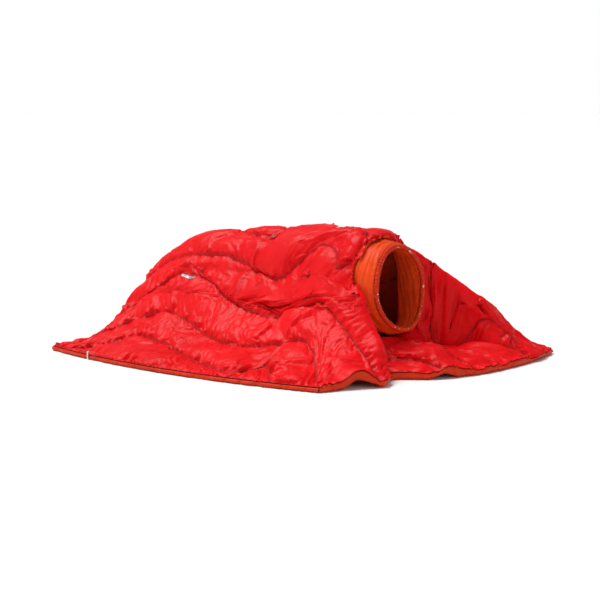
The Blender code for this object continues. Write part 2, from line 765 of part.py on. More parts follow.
def centre_on_floor():
    """Move every piece so that the origin is under the middle of the whole."""
    meshes = [obj.data for obj in bpy.data.objects]
    points = np.array([v.co for mesh in meshes for v in mesh.vertices])
    low = points.min(0)
    high = points.max(0)
    shift = Vector((-(low[0] + high[0]) / 2, -(low[1] + high[1]) / 2, -low[2]))
    for mesh in meshes:
        for v in mesh.vertices:
            v.co += shift


def main():
    for obj in list(bpy.data.objects):
        bpy.data.objects.remove(obj, do_unlink=True)
    quilting()
    hem_bands()
    collar()
    shell = outside()
    patch("neck_label", shell, LABEL_AT, LABEL_SIZE, 0.0006, WHITE, 0.6, steps=(3, 5))
    patch("reflective_mark", shell, MARK_AT, MARK_SIZE, 0.0004, (0.6, 0.6, 0.62), 0.3)
    snap()
    hem_tab()
    centre_on_floor()


main()
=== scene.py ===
"""A quilted camp blanket, draped as worn: red shell, orange lining, gathered collar.

Lengths are in metres. The drape is worked out about its own origin and moved to
the row frame by SHIFT, which is where the CAD model puts it.
"""
import math

import bmesh
import bpy
import numpy as np
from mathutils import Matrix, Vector
from mathutils.bvhtree import BVHTree


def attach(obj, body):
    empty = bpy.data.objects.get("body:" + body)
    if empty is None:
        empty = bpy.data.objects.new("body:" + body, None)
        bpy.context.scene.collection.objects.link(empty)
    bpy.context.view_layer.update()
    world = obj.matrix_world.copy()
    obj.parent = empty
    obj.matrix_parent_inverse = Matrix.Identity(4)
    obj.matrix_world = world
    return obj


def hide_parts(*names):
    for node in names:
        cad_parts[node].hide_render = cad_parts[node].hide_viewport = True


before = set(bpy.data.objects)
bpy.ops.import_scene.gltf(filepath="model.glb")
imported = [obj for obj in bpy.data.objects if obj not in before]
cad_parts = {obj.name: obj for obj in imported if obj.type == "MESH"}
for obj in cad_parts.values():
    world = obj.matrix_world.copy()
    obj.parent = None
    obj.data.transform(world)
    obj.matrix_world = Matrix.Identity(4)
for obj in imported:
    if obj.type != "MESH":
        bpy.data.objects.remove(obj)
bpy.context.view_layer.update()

SHIFT = np.array((0.01924, -0.01577, 0.0))
FLAT_LENGTH = 0.80
FLAT_WIDTH = 0.76

# plan of the hem: corners, and how far each side bows outwards
REAR_NEAR = (-0.372, -0.246)
FRONT_NEAR = (0.244, -0.246)
FRONT_FAR = (0.330, 0.300)
REAR_FAR = (-0.350, 0.255)
BOW_NEAR = 0.036
BOW_FAR = 0.030
BOW_REAR = 0.015
BOW_FRONT = 0.046

# the drape, station by station along X
STATION_X = (-0.380, -0.350, -0.315, -0.270, -0.200, -0.080, 0.040, 0.130, 0.180, 0.220, 0.300, 0.360)
CREST_Z = (0.042, 0.083, 0.131, 0.165, 0.192, 0.208, 0.216, 0.218, 0.211, 0.186, 0.127, 0.082)
CREST_Y = (0.000, 0.000, 0.000, 0.000, 0.010, 0.020, 0.020, 0.010, 0.010, 0.010, 0.020, 0.020)
NEAR_HALF = (0.56, 0.54, 0.48, 0.43, 0.40, 0.38, 0.38, 0.40, 0.40, 0.40, 0.44, 0.50)
NEAR_POWER = (2.6, 2.6, 2.6, 2.6, 2.8, 3.0, 3.0, 3.0, 2.8, 2.6, 2.4, 2.4)
FAR_HALF = (0.50, 0.50, 0.48, 0.45, 0.44, 0.44, 0.48, 0.58, 0.66, 0.70, 0.74, 0.74)
FAR_POWER = 2.6
REAR_RISE = 0.060
FRONT_FALL = 0.055
BROW_Y = (-0.30, -0.20, -0.135, -0.110, -0.082, -0.062, 0.010, 0.085, 0.115, 0.160, 0.22, 0.30)
BROW_X = (0.400, 0.360, 0.292, 0.234, 0.186, 0.160, 0.168, 0.162, 0.190, 0.270, 0.36, 0.42)
BROW_DROP = 0.024
LEG_HEIGHT = 0.034
LEG_Y = 0.005
LEG_HALF_WIDTH = 0.055

# quilting
LINES = 8
FIRST_LINE = 0.058
PITCH = 0.086
LOFT = 0.0100
SEAM_LIFT = 0.0036  # of the stitched lines over what the blanket lies on
SINK = 0.62  # below 1 where the padding sinks towards the lower line
STITCHED = 0.0009
EDGE_LOFT = 0.0095
LEAST_LINE_GAP = 0.0022
SEAM_GATHER = 0.0060  # depth of the short gathers beside a line
BROAD_GATHER = 0.0040  # height of the broad ones
FOLD_SWAY = 0.004  # of a tight fold off its straight line
LINING_GAPS = (0.0024, 0.0030)  # of the lining under the shell, pass by pass

# collar
COLLAR_Z = 0.1345
COLLAR_HALF_Y = 0.0695
COLLAR_HALF_Z = 0.0735
COLLAR_MOUTH_SHARE = 0.93
COLLAR_TOP_X = 0.196
COLLAR_SIDE_X = 0.204
COLLAR_BOTTOM_X = 0.217
CASING_RADIUS = 0.0046

# trims
SNAP_AT = (-0.040, -0.022)
LABEL_AT = (0.098, 0.004)
LABEL_SIZE = (0.016, 0.030)
MARK_AT = (-0.193, -0.080)
MARK_SIZE = (0.036, 0.0065)
MARK_TURNED = -0.12
TAB_X = -0.250

# X and Y of the four near lines, read at rounded X from a scratch program that
# placed the photograph's lines on the drape
NEAR_LINES = (
    (
        (
            -0.40, -0.32, -0.27, -0.22, -0.19, -0.14, -0.08, -0.02,
            0.03, 0.06, 0.08, 0.10, 0.12, 0.15, 0.19,
        ),
        (
            -0.260, -0.245, -0.213, -0.176, -0.178, -0.189, -0.210, -0.231,
            -0.243, -0.247, -0.235, -0.206, -0.220, -0.252, -0.29,
        ),
    ),
    (
        (
            -0.40, -0.32, -0.25, -0.20, -0.14, -0.08, -0.02, 0.02,
            0.05, 0.08, 0.10, 0.13, 0.16, 0.18, 0.21, 0.25,
        ),
        (
            -0.220, -0.175, -0.136, -0.124, -0.133, -0.152, -0.163, -0.162,
            -0.158, -0.149, -0.145, -0.143, -0.158, -0.178, -0.21, -0.27,
        ),
    ),
    (
        (
            -0.40, -0.32, -0.25, -0.20, -0.14, -0.08, -0.02, 0.02,
            0.05, 0.08, 0.10, 0.13, 0.17, 0.21, 0.25, 0.31,
        ),
        (
            -0.170, -0.125, -0.085, -0.073, -0.079, -0.096, -0.107, -0.111,
            -0.108, -0.092, -0.087, -0.097, -0.108, -0.122, -0.138, -0.170,
        ),
    ),
    (
        (
            -0.40, -0.32, -0.25, -0.20, -0.14, -0.08, -0.02, 0.01,
            0.04, 0.08, 0.12,
        ),
        (
            -0.085, -0.062, -0.048, -0.050, -0.049, -0.056, -0.069, -0.071,
            -0.060, -0.036, -0.040,
        ),
    ),
)

# folds drawn tight over the shell, placed one by one: X and Y of both ends, height, width
TIGHT_FOLDS = (
    (0.088, -0.030, 0.046, -0.106, 0.0030, 0.0030),
    (0.098, -0.036, 0.055, -0.104, 0.0026, 0.0026),
    (0.104, -0.086, 0.160, -0.084, 0.0024, 0.0034),
    (0.100, -0.090, 0.150, -0.118, 0.0026, 0.0036),
    (0.085, -0.128, 0.135, -0.100, 0.0024, 0.0050),
    (0.060, -0.190, 0.120, -0.150, 0.0030, 0.0060),
    (0.120, -0.205, 0.175, -0.160, 0.0028, 0.0060),
    (0.200, -0.200, 0.245, -0.120, 0.0030, 0.0070),
    (-0.150, -0.150, -0.060, -0.120, 0.0024, 0.0050),
    (-0.200, -0.205, -0.130, -0.165, 0.0020, 0.0050),
    (0.250, 0.150, 0.330, 0.250, 0.0050, 0.0070),
    (0.245, 0.130, 0.345, 0.160, 0.0050, 0.0080),
    (0.250, 0.100, 0.350, 0.075, 0.0040, 0.0080),
    (0.255, 0.190, 0.310, 0.285, 0.0040, 0.0070),
    (0.225, 0.010, 0.315, 0.030, 0.0040, 0.0090),
    (0.230, -0.030, 0.300, -0.035, 0.0036, 0.0080),
)

# near flap's fold, front hem
FOLD_START = (0.150, -0.064)
FOLD_END = (0.286, -0.130)
FOLD_HOLLOW = 0.030
FOLD_PUSH = 0.011
FRONT_HEM_Y = (-0.246, -0.181, -0.149, -0.125, -0.085, -0.047, -0.007, 0.067, 0.155, 0.228, 0.300)
FRONT_HEM_DX = (0.0, -0.006, 0.007, -0.012, -0.040, -0.007, 0.005, 0.013, 0.011, 0.009, 0.0)
ARCH_Y = -0.178
ARCH_HEIGHT = 0.016

# cloth simulation of the shell
EXCESS = 0.040
PRESSURE = 2.0
BENDING = 0.01
MOST_MOVED = 0.006

# neck
NECK_Y = 0.010
NECK_Z = 0.127
NECK_HALF_Y = 0.076
NECK_HALF_Z = 0.084
NECK_TOP_X = 0.168
NECK_SIDE_X = 0.158
NECK_BOTTOM_X = 0.190
NECK_S = 0.782
NECK_T = (FIRST_LINE + 4 * PITCH) / FLAT_WIDTH
NECK_HALF_T = PITCH / FLAT_WIDTH
NECK_HALF_S = 0.088 / FLAT_LENGTH

# grid of the quilting: columns along the length, rows to a channel
COLUMNS = 330
ROWS = 32


# ---------------------------------------------------------------- curves and noise
def ease(u):
    u = np.clip(u, 0.0, 1.0)
    return u * u * (3 - 2 * u)


def through(x, xs, ys):
    """A curve through the points that never overshoots them."""
    xs = np.asarray(xs, float)
    ys = np.asarray(ys, float)
    rise = np.diff(ys) / np.diff(xs)
    slope = np.zeros(len(xs))
    slope[0] = rise[0]
    slope[-1] = rise[-1]
    for k in range(1, len(xs) - 1):
        if rise[k - 1] * rise[k] > 0:
            slope[k] = 2 * rise[k - 1] * rise[k] / (rise[k - 1] + rise[k])
    x = np.clip(x, xs[0], xs[-1])
    i = np.clip(np.searchsorted(xs, x) - 1, 0, len(xs) - 2)
    wide = xs[i + 1] - xs[i]
    u = (x - xs[i]) / wide
    return (
        (2 * u**3 - 3 * u**2 + 1) * ys[i]
        + (u**3 - 2 * u**2 + u) * wide * slope[i]
        + (3 * u**2 - 2 * u**3) * ys[i + 1]
        + (u**3 - u**2) * wide * slope[i + 1]
    )


def noise(u, v, seed):
    """Smooth noise from -1 to 1, with a feature size of 1."""
    table = np.random.RandomState(seed).uniform(-1, 1, (64, 64, 2))
    i = np.floor(u).astype(int)
    j = np.floor(v).astype(int)
    fu = u - i
    fv = v - j
    total = 0
    for di in (0, 1):
        for dj in (0, 1):
            slope = table[(i + di) % 64, (j + dj) % 64]
            dot = slope[..., 0] * (fu - di) + slope[..., 1] * (fv - dj)
            weight = (ease(fu) if di else 1 - ease(fu)) * (ease(fv) if dj else 1 - ease(fv))
            total = total + weight * dot
    return total * 1.6


# ---------------------------------------------------------------- hem and drape
def side_share(v, low, high):
    return np.clip((v - low) / (high - low), 0, 1)


def near_hem(x):
    a = side_share(x, REAR_NEAR[0], FRONT_NEAR[0])
    return REAR_NEAR[1] * (1 - a) + FRONT_NEAR[1] * a - BOW_NEAR * 4 * a * (1 - a)


def far_hem(x):
    a = side_share(x, REAR_FAR[0], FRONT_FAR[0])
    return REAR_FAR[1] * (1 - a) + FRONT_FAR[1] * a + BOW_FAR * 4 * a * (1 - a)


def rear_hem(y):
    b = side_share(y, REAR_NEAR[1], REAR_FAR[1])
    return REAR_NEAR[0] * (1 - b) + REAR_FAR[0] * b - BOW_REAR * 4 * b * (1 - b)


def front_hem(y):
    b = side_share(y, FRONT_NEAR[1], FRONT_FAR[1])
    return FRONT_NEAR[0] * (1 - b) + FRONT_FAR[0] * b + BOW_FRONT * 4 * b * (1 - b)


def raised(x, y):
    """Height of the drape over the body and out to the near and far hems."""
    crest_y = through(x, STATION_X, CREST_Y)
    aside = y - crest_y
    near = aside < 0
    reach = np.where(near, crest_y - near_hem(x), far_hem(x) - crest_y)
    share = np.clip(np.abs(aside) / reach, 0, 1)
    half = np.where(near, through(x, STATION_X, NEAR_HALF), through(x, STATION_X, FAR_HALF))
    power = np.where(near, through(x, STATION_X, NEAR_POWER), FAR_POWER)
    bell = 1 / (1 + (share / half) ** power)
    foot = 1 / (1 + (1 / half) ** power)
    height = through(x, STATION_X, CREST_Z) * (bell - foot) / (1 - foot)
    height = height * ease((front_hem(y) - x) / FRONT_FALL) ** 0.6
    return height * ease((x - rear_hem(y)) / REAR_RISE) ** 0.7


def front_piece(x, y):
    """Height of the part that lies in front of the neck."""
    in_from_hem = front_hem(y) - x
    legs = LEG_HEIGHT * np.exp(-(((y - LEG_Y) / LEG_HALF_WIDTH) ** 2))
    side = 0.012 * np.exp(-(((y - 0.14) / 0.09) ** 2))
    return 0.004 * ease(in_from_hem / 0.03) + (legs + side) * ease(in_from_hem / 0.07)


def drape(x, y):
    """Height of the middle of the blanket over the floor, without its thickness."""
    past = ease((x - through(y, BROW_Y, BROW_X) + 0.004) / BROW_DROP)
    return raised(x, y) * (1 - past) + front_piece(x, y) * past


def plan(a, b):
    """Place on the floor for shares a, rear to front, and b, near to far."""
    corner = {k: np.array(v) for k, v in zip("LNRB", (REAR_NEAR, FRONT_NEAR, FRONT_FAR, REAR_FAR))}

    def side(p, q, t, bow, way):
        t = t[..., None]
        return p * (1 - t) + q * t + np.array(way) * bow * 4 * t * (1 - t)

    near = side(corner["L"], corner["N"], a, BOW_NEAR, (0, -1))
    far = side(corner["B"], corner["R"], a, BOW_FAR, (0, 1))
    rear = side(corner["L"], corner["B"], b, BOW_REAR, (-1, 0))
    front = side(corner["N"], corner["R"], b, BOW_FRONT, (1, 0))
    a = a[..., None]
    b = b[..., None]
    corners = (
        corner["L"] * (1 - a) * (1 - b)
        + corner["N"] * a * (1 - b)
        + corner["B"] * (1 - a) * b
        + corner["R"] * a * b
    )
    return near * (1 - b) + far * b + rear * (1 - a) + front * a - corners


def lifted(a, b):
    xy = plan(a, b)
    return np.concatenate([xy, drape(xy[..., 0], xy[..., 1])[..., None]], -1)


def evened(points, share):
    """Respace share along axis 0 so that steps over the surface are equal."""
    step = np.linalg.norm(np.diff(points, axis=0), axis=-1)
    along = np.concatenate([np.zeros((1, points.shape[1])), np.cumsum(step, 0)])
    new = np.empty_like(share)
    for j in range(share.shape[1]):
        new[:, j] = np.interp(np.linspace(0, along[-1, j], len(along)), along[:, j], share[:, j])
    for _ in range(6):
        pad = np.pad(new, ((0, 0), (2, 2)), mode="edge")
        blur = sum(w * pad[:, k : k + new.shape[1]] for k, w in enumerate((1, 4, 6, 4, 1))) / 16
        new[:, 1:-1] = blur[:, 1:-1]
    return new


def flat_map():
    """Plan shares for an even grid over the cloth."""
    a, b = np.meshgrid(np.linspace(0, 1, 261), np.linspace(0, 1, 241), indexing="ij")
    for _ in range(3):
        a = evened(lifted(a, b), a)
        b = evened(lifted(a, b).swapaxes(0, 1), b.T).T
    return a, b


SHARE_A, SHARE_B = flat_map()


def spot(s, t):
    """Point of the drape at cloth shares s, rear to front, and t, near to far."""
    rows, cols = SHARE_A.shape
    u = np.clip(s, 0, 1) * (rows - 1)
    v = np.clip(t, 0, 1) * (cols - 1)
    i = np.clip(u.astype(int), 0, rows - 2)
    j = np.clip(v.astype(int), 0, cols - 2)
    u = u - i
    v = v - j

    def read(table):
        low = table[i, j] * (1 - v) + table[i, j + 1] * v
        high = table[i + 1, j] * (1 - v) + table[i + 1, j + 1] * v
        return low * (1 - u) + high * u

    return lifted(read(SHARE_A), read(SHARE_B))


# ---------------------------------------------------------------- quilting lines
def line_number(x, flat):
    """Where a point lies between the quilting lines: a whole number on a line."""
    u = ((x + 0.130 + 0.33 * np.minimum(flat, 0.38)) / 0.290) % 1.0
    u = np.where(u < 0.66, 0.5 * u / 0.66, 0.5 + 0.5 * (u - 0.66) / 0.34)
    wave = 0.034 * np.cos(2 * np.pi * u) * ease(flat / 0.10)
    droop = 0.15 * ease((x - 0.095) / 0.15) * ease((0.36 - flat) / 0.16)
    return (flat - wave + droop - FIRST_LINE) / PITCH


def guide_table(s):
    """Cloth share across of hem, lines and hem, for each of the shares s along."""
    t = np.linspace(0, 1, 761)
    ss, tt = np.meshgrid(s, t, indexing="ij")
    number = line_number(spot(ss, tt)[..., 0], tt * FLAT_WIDTH)
    number = np.maximum.accumulate(number, 1) + 1e-9 * np.arange(len(t))
    straight = ease((s - NECK_S + 1.75 * NECK_HALF_S) / (0.6 * NECK_HALF_S))
    places = spot(ss, tt)
    lines = []
    for k in range(LINES):
        if k < len(NEAR_LINES):
            past = places[..., 1] - through(places[..., 0], *NEAR_LINES[k])
            past = np.maximum.accumulate(past, 1) + 1e-9 * np.arange(len(t))
            at = np.array([np.interp(0, row, t) for row in past])
        else:
            at = np.array([np.interp(k, row, t) for row in number])
        if 3 <= k <= 5:
            at = at * (1 - straight) + (FIRST_LINE + k * PITCH) / FLAT_WIDTH * straight
        pad = np.pad(at, 4, mode="edge")
        at = np.convolve(pad, np.hanning(11)[1:-1] / np.hanning(11)[1:-1].sum(), "valid")
        low = (lines[-1] if lines else 0) + LEAST_LINE_GAP / FLAT_WIDTH
        high = 1 - (LINES - k) * LEAST_LINE_GAP / FLAT_WIDTH
        lines.append(np.clip(at, low, high))
    return np.stack([np.zeros_like(s), *lines, np.ones_like(s)], 1)


# ---------------------------------------------------------------- neck ring
def ring(along, across):
    """Point of the neck ring in the direction given on the flat cloth."""
    long = np.hypot(along, across)
    down = along / long
    aside = across / long
    x = np.where(
        down < 0,
        NECK_SIDE_X + (NECK_TOP_X - NECK_SIDE_X) * down**2,
        NECK_SIDE_X + (NECK_BOTTOM_X - NECK_SIDE_X) * down**2,
    )
    return np.stack([x, NECK_Y + NECK_HALF_Y * aside, NECK_Z - NECK_HALF_Z * down], -1)


def neck_out(s, t):
    """How far out of the neck's square a place is: 1 on its edge."""
    along = (s - NECK_S) / NECK_HALF_S
    across = (t - NECK_T) / NECK_HALF_T
    return along, across, np.maximum(np.maximum(np.abs(along), np.abs(across)), 1e-6)


def to_ring(s, t, points):
    """Points moved so that the square left out for the neck becomes the ring.

    They slide over the drape, and only those next to the ring leave it.
    """
    along, across, out = neck_out(s, t)
    share = (1 - ease((out - 1) / 1.1)) * ease((1 - s) * FLAT_LENGTH / 0.07)
    edge = spot(NECK_S + along / out * NECK_HALF_S, NECK_T + across / out * NECK_HALF_T)
    goal = ring(along, across)
    place = points[..., :2] + (goal - edge)[..., :2] * share[..., None]
    height = np.where(share > 0, drape(place[..., 0], place[..., 1]), points[..., 2])
    joined = 1 - ease((out - 1) / 0.35)
    height = height * (1 - joined) + goal[..., 2] * joined
    return np.concatenate([place, height[..., None]], -1)


# ---------------------------------------------------------------- the quilting's surface
def relaxed(values, passes, share):
    """Each value moved towards the mean of its four neighbours, where share says."""
    for _ in range(passes):
        pad = np.pad(values, ((1, 1), (1, 1), (0, 0)), mode="edge")
        mean = (pad[:-2, 1:-1] + pad[2:, 1:-1] + pad[1:-1, :-2] + pad[1:-1, 2:]) / 4
        values = values + (mean - values) * (0.6 * share[..., None])
    return values


def outward(points, passes=2):
    """Unit vectors out of the cloth."""
    out = np.cross(np.gradient(points, axis=0), np.gradient(points, axis=1))
    out /= np.maximum(np.linalg.norm(out, axis=-1, keepdims=True), 1e-12)
    out = relaxed(out, passes, np.ones(out.shape[:2]))
    return out / np.maximum(np.linalg.norm(out, axis=-1, keepdims=True), 1e-12)


def columns(count):
    """Shares along the length, with the neck's two edges among them."""
    first = NECK_S - NECK_HALF_S
    last = NECK_S + NECK_HALF_S
    steps = [max(2, round(count * part)) for part in (first, last - first, 1 - last)]
    return np.concatenate(
        [
            np.linspace(0, first, steps[0] + 1)[:-1],
            np.linspace(first, last, steps[1] + 1)[:-1],
            np.linspace(last, 1, steps[2] + 1),
        ]
    )


def front_folds(s, points):
    """The near flap's fold with the hollow behind it, and the shape of the front hem."""
    x, y, z = points[..., 0], points[..., 1], points[..., 2]
    start = np.array(FOLD_START)
    way = np.array(FOLD_END) - start
    length = np.hypot(*way)
    way = way / length
    along = (x - start[0]) * way[0] + (y - start[1]) * way[1]
    aside = (y - start[1]) * way[0] - (x - start[0]) * way[1]
    here = ease((along + 0.015) / 0.03) * (1 - ease((along - length + 0.005) / 0.03))
    hollow = FOLD_HOLLOW * np.exp(-(((aside - 0.020) / 0.015) ** 2)) * here
    crest = 0.006 * np.exp(-(((aside + 0.002) / 0.007) ** 2)) * here
    push = FOLD_PUSH * np.exp(-(((aside + 0.004) / 0.018) ** 2)) * here
    floor_z = np.minimum(z, 0.006)
    z = np.maximum(z - hollow * ease(z / 0.03), floor_z) + crest
    x = x - way[1] * push
    y = y + way[0] * push
    from_hem = (1 - s) * FLAT_LENGTH
    near_hem_share = np.exp(-((from_hem / 0.05) ** 2))
    x = x + through(y, FRONT_HEM_Y, FRONT_HEM_DX) * near_hem_share
    arch = ARCH_HEIGHT * np.exp(-(((y - ARCH_Y) / 0.022) ** 2))
    arch = arch + 0.010 * np.exp(-(((y + 0.020) / 0.022) ** 2))
    z = z + arch * np.exp(-((from_hem / 0.035) ** 2))
    return np.stack([x, y, z], -1)


class Quilt:
    """The middle surface of the blanket and where each point lies between lines."""

    def __init__(self, count, rows):
        self.s_line = columns(count)
        self.rows = rows
        guides = guide_table(self.s_line)
        r = np.linspace(0, 1, rows + 1)
        r = 0.6 * r + 0.4 * (0.5 - 0.5 * np.cos(np.pi * r))
        parts = []
        for k in range(LINES + 1):
            low, high = guides[:, k : k + 1], guides[:, k + 1 : k + 2]
            part = low + (high - low) * r
            parts.append(part if k == LINES else part[:, :-1])
        self.t = np.concatenate(parts, 1)
        self.s = np.repeat(self.s_line[:, None], self.t.shape[1], 1)
        row = np.arange(self.t.shape[1])
        self.channel = np.minimum(row // rows, LINES)
        out = neck_out(self.s, self.t)[2]
        self.neck = out
        base = to_ring(self.s, self.t, spot(self.s, self.t))
        free = (out > 1.001) * (1 - ease((out - 1.15) / 0.5)) * ease((1 - self.s) * FLAT_LENGTH / 0.05)
        base = relaxed(base, count // 8, free)
        base = front_folds(self.s, base)
        self.base = base
        self.out = outward(base, 6)
        # distance to the nearest line, square to it
        step_s = np.gradient(base, axis=0)
        step_t = np.gradient(base, axis=1)
        step_s /= np.maximum(np.linalg.norm(step_s, axis=-1, keepdims=True), 1e-9)
        length_t = np.linalg.norm(step_t, axis=-1)
        square = np.linalg.norm(np.cross(step_s, step_t), axis=-1)
        gap = np.linalg.norm(np.diff(base, axis=1), axis=-1)
        travelled = np.concatenate([np.zeros((len(base), 1)), np.cumsum(gap, 1)], 1)
        starts = travelled[:, self.channel * rows]
        ends = travelled[:, np.minimum(self.channel * rows + rows, len(row) - 1)]
        lean = square / np.maximum(length_t, 1e-9)
        self.low = (travelled - starts) * lean
        self.high = (ends - travelled) * lean
        self.width = (ends - starts) * lean
        arc = np.linalg.norm(np.diff(base, axis=0), axis=-1)
        self.arc = np.concatenate([np.zeros((1, base.shape[1])), np.cumsum(arc, 0)], 0)
        self.distance = np.minimum(self.low, self.high)


def hem_distance(quilt):
    """Flat distance from each point to the nearest hem."""
    across = np.minimum(quilt.t, 1 - quilt.t) * FLAT_WIDTH
    return np.minimum(across, np.minimum(quilt.s, 1 - quilt.s) * FLAT_LENGTH)


def puff(quilt, loft):
    """Half thickness of the padding, which has sunk towards the lower line of each channel."""
    half = np.maximum(quilt.width, 1e-6) / 2
    share = np.clip(quilt.low / np.maximum(quilt.width, 1e-6), 0, 1)
    near_side = 1 - ease((quilt.t - 0.44) / 0.12)
    sunk = near_side * share**SINK + (1 - near_side) * (1 - (1 - share) ** SINK)
    steep = np.clip(np.minimum(sunk, 1 - sunk) * 2, 0, 1)
    lower = np.where(near_side > 0.5, sunk < 0.5, sunk > 0.5)
    round_top = np.where(lower, (1 - (1 - steep) ** 2.4) ** 0.62, np.sin(np.pi / 2 * steep) ** 0.7)
    top = np.minimum(loft, 0.0006 + 0.24 * half)
    thick = STITCHED + top * round_top
    # the hems are stitched too, but keep some height
    edge = hem_distance(quilt)
    hem = EDGE_LOFT + (np.maximum(thick, 0.002) - EDGE_LOFT) * ease(edge / 0.030)
    hem = np.minimum(np.maximum(thick, 0.002) + 0.002, np.maximum(hem, 0.002))
    thick = np.where(edge < 0.030, hem, thick)
    ring_share = 1 - ease((quilt.neck - 1) / 0.16)
    return thick * (1 - ring_share) + 0.0022 * ring_share


def puckers(quilt, seed):
    """Gathers that run out from each stitched line and fade into the channel."""
    from_low = quilt.low < quilt.high
    side = np.where(from_low, 0, 1) + 2 * quilt.channel
    near_side = quilt.t < 0.5
    hanging = np.where(from_low == near_side, 1.0, 0.45)
    d = quilt.distance
    drift = 0.9 * noise(quilt.arc / 0.031, d / 0.03 + 3.1 * side, seed + 1)
    fine = noise(quilt.arc / 0.0098 + drift, d / 0.030 + 5.7 * side, seed)
    broad = noise(quilt.arc / 0.023 + drift, d / 0.045 + 2.3 * side, seed + 2)
    fold = 1 - np.abs(fine) * 2.6
    strong = np.clip(0.75 + 0.8 * noise(quilt.arc / 0.05, 1.7 * side + 0 * d, seed + 3), 0.3, 1.3)
    rise = 1 - np.exp(-((d / 0.0016) ** 2))
    near = np.exp(-((d / (0.006 + 0.011 * hanging)) ** 1.3)) * rise
    wide = np.exp(-((d / 0.030) ** 1.6)) * rise
    return strong * hanging * (-SEAM_GATHER * fold * near) + BROAD_GATHER * broad * wide


def tight_folds(points):
    """Height that the tight folds add over each point."""
    total = np.zeros(points.shape[:2])
    for x0, y0, x1, y1, height, width in TIGHT_FOLDS:
        length = math.hypot(x1 - x0, y1 - y0)
        dx, dy = (x1 - x0) / length, (y1 - y0) / length
        along = (points[..., 0] - x0) * dx + (points[..., 1] - y0) * dy
        aside = (points[..., 1] - y0) * dx - (points[..., 0] - x0) * dy
        aside = aside + FOLD_SWAY * np.sin(along / length * 3 + 9 * height * 1000)
        here = ease(along / (0.25 * length)) * (1 - ease((along - 0.6 * length) / (0.4 * length)))
        broad = np.exp(-((aside / width) ** 2))
        dip = np.exp(-(((np.abs(aside) - 2.0 * width) / width) ** 2))
        total += height * here * (broad - 0.35 * dip)
    return total


def surface(name, points, keep, flip=False):
    """A sheet over a grid of points, with the cells that keep allows."""
    ni, nj = points.shape[:2]
    index = np.arange(ni * nj).reshape(ni, nj)
    quads = np.stack([index[:-1, :-1], index[1:, :-1], index[1:, 1:], index[:-1, 1:]], -1)
    quads = quads[keep]
    if flip:
        quads = quads[:, ::-1]
    used = np.unique(quads)
    renumber = np.zeros(ni * nj, int)
    renumber[used] = np.arange(len(used))
    mesh = bpy.data.meshes.new(name)
    mesh.vertices.add(len(used))
    mesh.vertices.foreach_set("co", points.reshape(-1, 3)[used].astype(np.float32).ravel())
    faces = renumber[quads]
    mesh.loops.add(faces.size)
    mesh.loops.foreach_set("vertex_index", faces.ravel().astype(np.int32))
    mesh.polygons.add(len(faces))
    mesh.polygons.foreach_set("loop_start", np.arange(0, faces.size, 4, dtype=np.int32))
    mesh.update(calc_edges=True)
    mesh.validate()
    mesh.polygons.foreach_set("use_smooth", np.ones(len(faces), bool))
    obj = bpy.data.objects.new(name, mesh)
    bpy.context.scene.collection.objects.link(obj)
    return obj, used


def read_points(mesh):
    flat = np.empty(len(mesh.vertices) * 3, np.float32)
    mesh.vertices.foreach_get("co", flat)
    return flat.reshape(-1, 3).astype(float)


def write_points(mesh, points):
    mesh.vertices.foreach_set("co", points.astype(np.float32).ravel())
    mesh.update()


def flat_places(obj, places):
    """Keeps each point's place on the flat cloth, which the weave follows, and how far it is from a stitched
    line, which sets the painted shade beside the lines.
    """
    layer = obj.data.attributes.new("cloth", "FLOAT_VECTOR", "POINT")
    values = np.ones((len(places), 3), np.float32)
    values[:, : places.shape[1]] = places
    layer.data.foreach_set("vector", values.ravel())


def inflate(obj, pinned, out, depth, frames):
    """Blows a sheet up between its pinned points, with cloth to spare for gathers.

    No point sinks further than depth below where it was.
    """
    group = obj.vertex_groups.new(name="stitched")
    group.add([int(i) for i in np.nonzero(pinned)[0]], 1.0, "REPLACE")
    modifier = obj.modifiers.new("inflate", "CLOTH")
    cloth = modifier.settings
    cloth.quality = 4
    cloth.mass = 0.001
    cloth.tension_stiffness = cloth.compression_stiffness = 15
    cloth.shear_stiffness = 5
    cloth.bending_stiffness = BENDING
    cloth.use_pressure = True
    cloth.uniform_pressure_force = PRESSURE
    cloth.vertex_group_mass = "stitched"
    cloth.shrink_min = cloth.shrink_max = -EXCESS
    cloth.effector_weights.gravity = 0
    modifier.collision_settings.use_collision = False
    modifier.point_cache.frame_start = 1
    modifier.point_cache.frame_end = frames + 1
    before = read_points(obj.data)
    for step in range(1, frames + 1):
        bpy.context.scene.frame_set(step)
    evaluated = obj.evaluated_get(bpy.context.evaluated_depsgraph_get())
    moved = read_points(evaluated.data) - before
    obj.modifiers.remove(modifier)
    obj.vertex_groups.remove(group)
    bpy.context.scene.frame_set(1)
    far = np.linalg.norm(moved, axis=1, keepdims=True)
    moved = moved * np.minimum(1, MOST_MOVED / np.maximum(far, 1e-9))
    sunk = np.minimum((moved * out).sum(1) + depth, 0)
    write_points(obj.data, clear_of_collar(before + moved - out * sunk[:, None] - SHIFT) + SHIFT)


